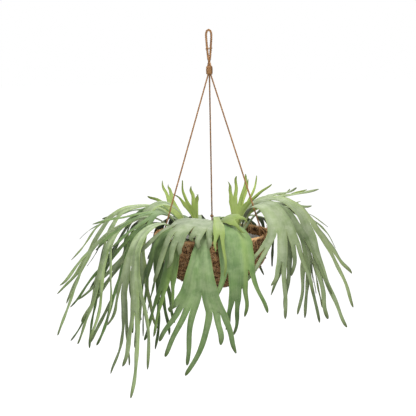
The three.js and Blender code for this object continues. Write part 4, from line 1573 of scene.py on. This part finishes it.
    def _place(self, share: np.ndarray, across: np.ndarray, out: np.ndarray) -> np.ndarray:
        """Points at distances across the midrib and out of the blade's plane."""
        inside = np.minimum(1, share)
        along = self.midrib.tangents(inside)
        spot = self.midrib.spots(inside) + along * ((share - inside) * self.length)[:, None]
        side = unit(self.sideways - along * (along @ self.sideways)[:, None])
        low, high = np.radians(self.growth.turn)
        twist = (low + (high - low) * inside)[:, None]
        side = side * np.cos(twist) + np.cross(along, side) * np.sin(twist)
        up = np.cross(along, side)
        return spot[:, None] + side[:, None] * across[..., None] + up[:, None] * out[..., None]

    def _skin(self, index: np.ndarray, left_free: np.ndarray, right_free: np.ndarray) -> None:
        """Adds the faces of a lane: its top and its underside, its free edges and its two ends."""
        rows, columns, _ = index.shape
        number = index.tolist()
        for r in range(rows - 1):
            here, ahead = number[r], number[r + 1]
            for c in range(columns - 1):
                self.faces.append((here[c][0], here[c + 1][0], ahead[c + 1][0], ahead[c][0]))
                self.faces.append((here[c][1], ahead[c][1], ahead[c + 1][1], here[c + 1][1]))
            if left_free[r + 1]:
                self.faces.append((here[0][0], ahead[0][0], ahead[0][1], here[0][1]))
            if right_free[r + 1]:
                self.faces.append((here[-1][0], here[-1][1], ahead[-1][1], ahead[-1][0]))
        first, last = number[0], number[-1]
        for c in range(columns - 1):
            self.faces.append((first[c][0], first[c][1], first[c + 1][1], first[c + 1][0]))
            self.faces.append((last[c][0], last[c + 1][0], last[c + 1][1], last[c][1]))


FRONDS = (
    Growth(
        "frond_left_outer", Tone.GREY, root=(-62, 0), half=27, full=0.62, fork=0.42, spread=15,
        midrib=((-114, 5, -426), (-173, 0, -412), (-226, -5, -427), (-269, -10, -477),
                (-302, -15, -544), (-362, -20, -650)),
        turn=(-8, -45), slits=(2, 0, 1, 3, 1), tips=(0.8, 0.92, 0.98, 1, 0.93, 0.82),
    ),
    Growth(
        "frond_left_second", Tone.GREY, root=(-58, -20), half=29, full=0.62, fork=0.43, spread=17,
        midrib=((-136, -50, -434), (-194, -70, -438), (-241, -80, -474), (-271, -85, -534),
                (-293, -85, -623), (-330, -80, -735)),
        turn=(-10, -44), slits=(1, 3, 0, 2), tips=(0.82, 0.93, 0.97, 0.97, 0.77),
    ),
    Growth(
        "frond_left_third", Tone.GREEN, root=(-54, -36), half=26, full=0.62, fork=0.42, spread=20,
        midrib=((-118, -75, -444), (-170, -97, -453), (-209, -107, -504), (-236, -116, -568),
                (-256, -114, -652), (-280, -108, -738)),
        turn=(-12, -39), slits=(1, 0, 2), tips=(0.84, 0.96, 1, 0.86),
    ),
    Growth(
        "frond_front_left", Tone.GREY, root=(-46, -52), half=40, full=0.62, fork=0.5, spread=16,
        midrib=((-105, -118, -439), (-148, -164, -442), (-175, -197, -478), (-187, -202, -538),
                (-196, -198, -607), (-208, -188, -704), (-240, -168, -815)),
        turn=(-5, -20), slits=(1, 2, 0, 3, 1), tips=(0.84, 0.95, 0.86, 0.92, 1, 0.8), flare=1.3,
    ),
    Growth(
        "frond_left_spray", Tone.GREEN, root=(-60, 18), half=24, full=0.6, fork=0.42, spread=20,
        midrib=((-120, 42, -434), (-185, 60, -434), (-250, 72, -458), (-305, 78, -484),
                (-345, 80, -515)),
        turn=(0, -25), slits=(1, 0, 2), tips=(0.86, 1, 0.96, 0.8),
    ),
    Growth(
        "frond_young_left", Tone.YOUNG, root=(-48, 34), half=24, full=0.72, fork=0.68, spread=24,
        midrib=((-80, 50, -446), (-120, 72, -410), (-156, 80, -380)),
        turn=(-20, -60), slits=(0, 0, 1), tips=(0.86, 0.95, 0.94, 0.86),
    ),
    Growth(
        "frond_young_back_left", Tone.YOUNG, root=(-34, 36), half=23, full=0.7, fork=0.66, spread=30,
        midrib=((-42, 50, -450), (-54, 62, -412), (-70, 70, -366)),
        turn=(-60, -85), slits=(1, 0, 1), tips=(0.92, 1.04, 0.92, 0.78),
    ),
    Growth(
        "frond_left_arch", Tone.GREY, root=(-48, -8), half=36, full=0.64, fork=0.5, spread=20,
        midrib=((-80, -16, -424), (-118, -27, -402), (-152, -34, -420), (-176, -40, -485),
                (-202, -44, -573), (-222, -44, -658), (-240, -40, -763)),
        turn=(-10, -60), slits=(2, 0, 1, 2), tips=(0.84, 0.96, 1, 0.9, 0.82), flare=1.1,
    ),
    Growth(
        "frond_front_inner_left", Tone.GREEN, root=(-34, -62), half=34, full=0.5, fork=0.5, spread=20,
        midrib=((-64, -120, -452), (-86, -150, -480), (-104, -160, -524), (-128, -160, -590),
                (-146, -152, -658), (-154, -144, -715)),
        turn=(0, -10), slits=(1, 2, 0), tips=(0.74, 0.92, 1, 0.88), flare=1,
    ),
    Growth(
        "frond_front_left_low", Tone.GREEN, root=(-30, -40), half=34, full=0.56, fork=0.5, spread=19,
        midrib=((-70, -70, -458), (-109, -88, -464), (-129, -108, -496), (-137, -116, -544),
                (-141, -120, -604), (-147, -116, -674), (-153, -110, -739)),
        turn=(0, -21), slits=(1, 2, 0, 1), tips=(0.8, 0.9, 1, 0.94, 0.82), flare=0.9,
    ),
    Growth(
        "frond_left_back", Tone.GREEN, root=(-44, 14), half=27, full=0.64, fork=0.44, spread=22,
        midrib=((-125, 22, -416), (-188, 18, -440), (-227, 14, -520), (-248, 12, -621),
                (-266, 10, -770)),
        turn=(-5, -45), slits=(2, 0, 1, 2), tips=(0.82, 0.95, 1, 0.9, 0.8),
    ),
    Growth(
        "frond_front_centre", Tone.FRESH, root=(-14, -58), half=60, full=0.67, fork=0.58, spread=18,
        midrib=((-18, -110, -444), (-24, -172, -462), (-30, -204, -515), (-34, -208, -588),
                (-42, -196, -684), (-54, -175, -797)),
        turn=(0, 0), slits=(1, 1, 0, 1, 1, 1), tips=(0.83, 0.8, 0.97, 0.93, 0.92, 0.84, 0.7), flare=1.5,
    ),
    Growth(
        "frond_front_right", Tone.MOSS, root=(8, -58), half=42, full=0.44, fork=0.6, spread=16,
        midrib=((26, -110, -442), (46, -152, -452), (54, -176, -503), (58, -182, -572),
                (63, -178, -636), (66, -168, -710)),
        turn=(5, 10), slits=(0, 1, 2, 0), tips=(0.86, 0.88, 0.98, 0.94, 0.8), flare=1.3,
    ),
    Growth(
        "frond_front_top", Tone.ASH, root=(-6, -22), half=54, full=0.42, fork=0.56, spread=15,
        midrib=((-21, -84, -436), (-40, -144, -434), (-62, -196, -452), (-74, -220, -500),
                (-92, -236, -560)),
        turn=(0, -10), slits=(0, 1, 0, 2, 1, 0), tips=(0.74, 0.75, 0.7, 0.8, 0.9, 1, 0.96), flare=1.2,
    ),
    Growth(
        "frond_young_right", Tone.YOUNG, root=(46, 22), half=28, full=0.62, fork=0.62, spread=24,
        midrib=((58, 34, -450), (72, 42, -408), (92, 50, -352)),
        turn=(60, 50), slits=(1, 0, 0, 1), tips=(0.86, 0.96, 1.02, 1, 0.86),
    ),
    Growth(
        "frond_right_front", Tone.PALE, root=(58, -34), half=38, full=0.64, fork=0.56, spread=18,
        midrib=((88, -70, -414), (124, -104, -402), (152, -134, -436), (160, -146, -493),
                (156, -146, -563), (142, -138, -655)),
        turn=(0, 46), slits=(1, 0, 2, 0, 1), tips=(0.88, 0.8, 1, 0.84, 0.92, 0.74), flare=0.9,
    ),
    Growth(
        "frond_right_outer", Tone.PALE, root=(64, -10), half=44, full=0.66, fork=0.52, spread=15,
        midrib=((101, -12, -413), (151, -20, -397), (205, -30, -422), (238, -34, -482),
                (262, -30, -552), (286, -30, -622), (312, -28, -715)),
        turn=(0, 70), slits=(2, 0, 3, 1, 2), tips=(0.81, 0.94, 1, 0.94, 0.9, 0.86), flare=1.5,
    ),
    Growth(
        "frond_young_outward", Tone.YOUNG, root=(66, 8), half=18, full=0.6, fork=0.54, spread=16,
        midrib=((93, 28, -436), (137, 40, -408), (190, 44, -408), (234, 44, -388)),
        turn=(0, 30), slits=(1, 0), tips=(0.86, 1, 0.9),
    ),
    Growth(
        "frond_right_level", Tone.PALE, root=(48, 2), half=24, full=0.6, fork=0.54, spread=15,
        midrib=((100, 12, -414), (156, 12, -406), (210, 10, -406), (262, 8, -400)),
        turn=(0, 48), slits=(1, 0, 2), tips=(0.82, 1, 0.92, 0.84),
    ),
    Growth(
        "frond_right_spray", Tone.SAGE, root=(64, 26), half=28, full=0.6, fork=0.5, spread=15,
        midrib=((123, 54, -434), (188, 74, -434), (250, 82, -464), (292, 82, -510),
                (318, 78, -552)),
        turn=(0, 30), slits=(1, 0, 2), tips=(0.84, 1, 0.94, 0.82),
    ),
    Growth(
        "frond_right_back", Tone.SAGE, root=(60, 42), half=36, full=0.64, fork=0.5, spread=15,
        midrib=((124, 84, -442), (184, 112, -464), (232, 124, -522), (262, 128, -607),
                (280, 124, -700)),
        turn=(0, 40), slits=(2, 0, 1, 2), tips=(0.84, 0.94, 1, 0.9, 0.82),
    ),
    Growth(
        "frond_young_back_right", Tone.YOUNG, root=(42, 40), half=16, full=0.6, fork=0.5, spread=18,
        midrib=((74, 70, -450), (106, 84, -412), (138, 92, -374)),
        turn=(30, 50), slits=(1, 0), tips=(0.9, 1, 0.88),
    ),
    Growth(
        "frond_right_middle", Tone.SAGE, root=(44, -20), half=33, full=0.6, fork=0.52, spread=17,
        midrib=((102, -44, -404), (158, -64, -412), (190, -80, -462), (204, -88, -538),
                (208, -88, -611), (206, -84, -690)),
        turn=(0, 62), slits=(1, 0, 2), tips=(0.88, 1, 0.94, 0.84),
    ),
    Growth(
        "frond_back_1", Tone.SAGE, root=(30, 52), half=34, full=0.56, fork=0.5, spread=13,
        midrib=((64, 82, -462), (106, 116, -458), (144, 146, -478), (164, 164, -530),
                (174, 174, -615)),
        turn=(0, 6), slits=(1, 0, 2), tips=(0.88, 1, 0.95, 0.82),
    ),
    Growth(
        "frond_back_2", Tone.GREY, root=(14, 58), half=34, full=0.56, fork=0.5, spread=13,
        midrib=((38, 95, -466), (62, 140, -460), (80, 186, -482), (90, 216, -540),
                (94, 228, -630)),
        turn=(0, 0), slits=(2, 0, 1), tips=(0.84, 0.96, 1, 0.86),
    ),
    Growth(
        "frond_back_3", Tone.GREEN, root=(0, 44), half=30, full=0.56, fork=0.5, spread=12,
        midrib=((10, 90, -466), (24, 132, -463), (30, 162, -482), (32, 178, -540),
                (32, 184, -620)),
        turn=(0, 0), slits=(1, 0, 2), tips=(0.86, 1, 0.94, 0.84),
    ),
    Growth(
        "frond_back_4", Tone.GREY, root=(-16, 52), half=34, full=0.56, fork=0.5, spread=13,
        midrib=((-28, 92, -464), (-38, 138, -458), (-46, 186, -480), (-50, 216, -540),
                (-52, 228, -630)),
        turn=(0, -6), slits=(1, 0, 1), tips=(0.86, 0.96, 1, 0.86),
    ),
    Growth(
        "frond_back_5", Tone.GREEN, root=(-30, 56), half=34, full=0.56, fork=0.5, spread=13,
        midrib=((-56, 92, -464), (-86, 124, -456), (-114, 150, -476), (-128, 166, -536),
                (-134, 174, -620)),
        turn=(0, 0), slits=(2, 0, 1), tips=(0.84, 0.96, 1, 0.88),
    ),
    Growth(
        "frond_back_6", Tone.GREY, root=(-44, 50), half=36, full=0.56, fork=0.5, spread=13,
        midrib=((-90, 78, -458), (-136, 104, -446), (-180, 126, -468), (-206, 138, -534),
                (-216, 142, -625)),
        turn=(0, 0), slits=(1, 0, 2), tips=(0.86, 1, 0.96, 0.84),
    ),
    Growth(
        "frond_young_ridge", Tone.SOFT, root=(20, -30), half=17, full=0.6, fork=0.84, spread=7,
        midrib=((24, -66, -442), (32, -108, -428), (52, -144, -428), (78, -158, -442)),
        turn=(10, 40), slits=(0,), tips=(0.98, 1.02), flare=1.1,
    ),
    Growth(
        "frond_young_front", Tone.SOFT, root=(2, -38), half=13, full=0.6, fork=0.7, spread=9,
        midrib=((6, -85, -432), (12, -150, -432), (14, -200, -450), (13, -226, -500),
                (10, -232, -548)),
        turn=(0, 0), slits=(0,), tips=(0.98, 0.82),
    ),
    Growth(
        "frond_left_fan", Tone.GREEN, root=(-66, -12), half=26, full=0.62, fork=0.52, spread=20,
        midrib=((-112, -51, -424), (-162, -95, -426), (-206, -129, -450), (-250, -150, -492)),
        turn=(-6, -30), slits=(1, 0, 1), tips=(0.84, 0.94, 1, 0.9),
    ),
)


# ---------------------------------------------------------------- studio


class Lamp(Enum):
    """The studio's lights: the place, what it points at, its width and its watts."""

    KEY = ((-150, -1250, 1900), (0, 0, -560), 900, 50)
    FILL = ((200, -2300, -250), (0, 0, -600), 1100, 31)
    BACK = ((300, 1600, 1500), (0, 0, -500), 1100, 34)


@dataclass(frozen=True)
class Studio:
    """The camera, the light and the floor."""

    distance: float = 2563.6
    aside: float = -9.7
    height: float = -46.4
    pitch: float = 8.3
    roll: float = 1.15
    field: float = 21.9
    floor_z: float = -1300.0
    floor_radius: float = 40000.0
    floor_sides: int = 96

    def camera(self) -> None:
        """Places the camera in front, above the bowl and looking slightly down."""
        data = bpy.data.cameras.new("camera")
        data.sensor_fit = "HORIZONTAL"
        data.angle = math.radians(self.field)
        data.clip_start, data.clip_end = 0.05, 60
        camera = bpy.data.objects.new("camera", data)
        place = Vector((self.aside, -self.distance, self.height)) * MM
        turn = (Matrix.Rotation(math.radians(90 - self.pitch), 4, "X")
                @ Matrix.Rotation(math.radians(-self.roll), 4, "Z"))
        camera.matrix_world = Matrix.Translation(place) @ turn
        bpy.context.scene.collection.objects.link(camera)
        bpy.context.scene.camera = camera

    def light(self) -> None:
        """Sets a white surround, brighter from above, and three large soft lights."""
        world = bpy.data.worlds.new("surround")
        bpy.context.scene.world = world
        world.use_nodes = True
        sky = Graph(world.node_tree)
        seen = sky.add("ShaderNodeLightPath", output="Is Camera Ray")
        height = sky.add("ShaderNodeTexCoord", output="Generated").part("Z")
        dome = height.ramp(-0.1, 1.0) * 0.55 + 0.07
        glow = sky.add("ShaderNodeBackground", inputs={"Color": (1.0, 1.0, 1.0),
                                                       "Strength": dome + seen * (1 - dome)})
        end = sky.tree.nodes.new("ShaderNodeOutputWorld")
        sky.feed(end.inputs["Surface"], glow)
        for lamp in Lamp:
            self._lamp(lamp.name.lower(), *lamp.value)

    @staticmethod
    def _lamp(name: str, place: Point, target: Point, size: float, watts: float) -> None:
        """Adds an area light aimed at a point."""
        data = bpy.data.lights.new(name, "AREA")
        data.shape, data.size, data.energy = "DISK", size * MM, watts
        lamp = bpy.data.objects.new(name, data)
        lamp.location = Vector(place) * MM
        aim = Vector(target) - Vector(place)
        lamp.rotation_euler = aim.to_track_quat("-Z", "Y").to_euler()
        bpy.context.scene.collection.objects.link(lamp)

    def floor(self) -> None:
        """Lays a pale floor, far below the bowl."""
        points = lathe_points([(self.floor_radius, self.floor_z)], self.floor_sides)
        make_object("floor", points, [tuple(range(self.floor_sides))], Wardrobe.of(FLOOR))


def main() -> None:
    """Dresses the whole plant, piece by piece, and notes how much room it takes."""
    logging.basicConfig(level=logging.INFO, format="%(message)s")
    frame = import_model()
    LOG.info("%d solids", len(frame["nodes"]))
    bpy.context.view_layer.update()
    studio = Studio()
    studio.camera()
    Hanger().build()
    Bowl().build()
    for seed, growth in enumerate(FRONDS, start=1):
        Frond(growth, seed).build()
    studio.light()
    studio.floor()
    bpy.context.scene.view_settings.view_transform = "Standard"


if __name__ == "__main__":
    main()
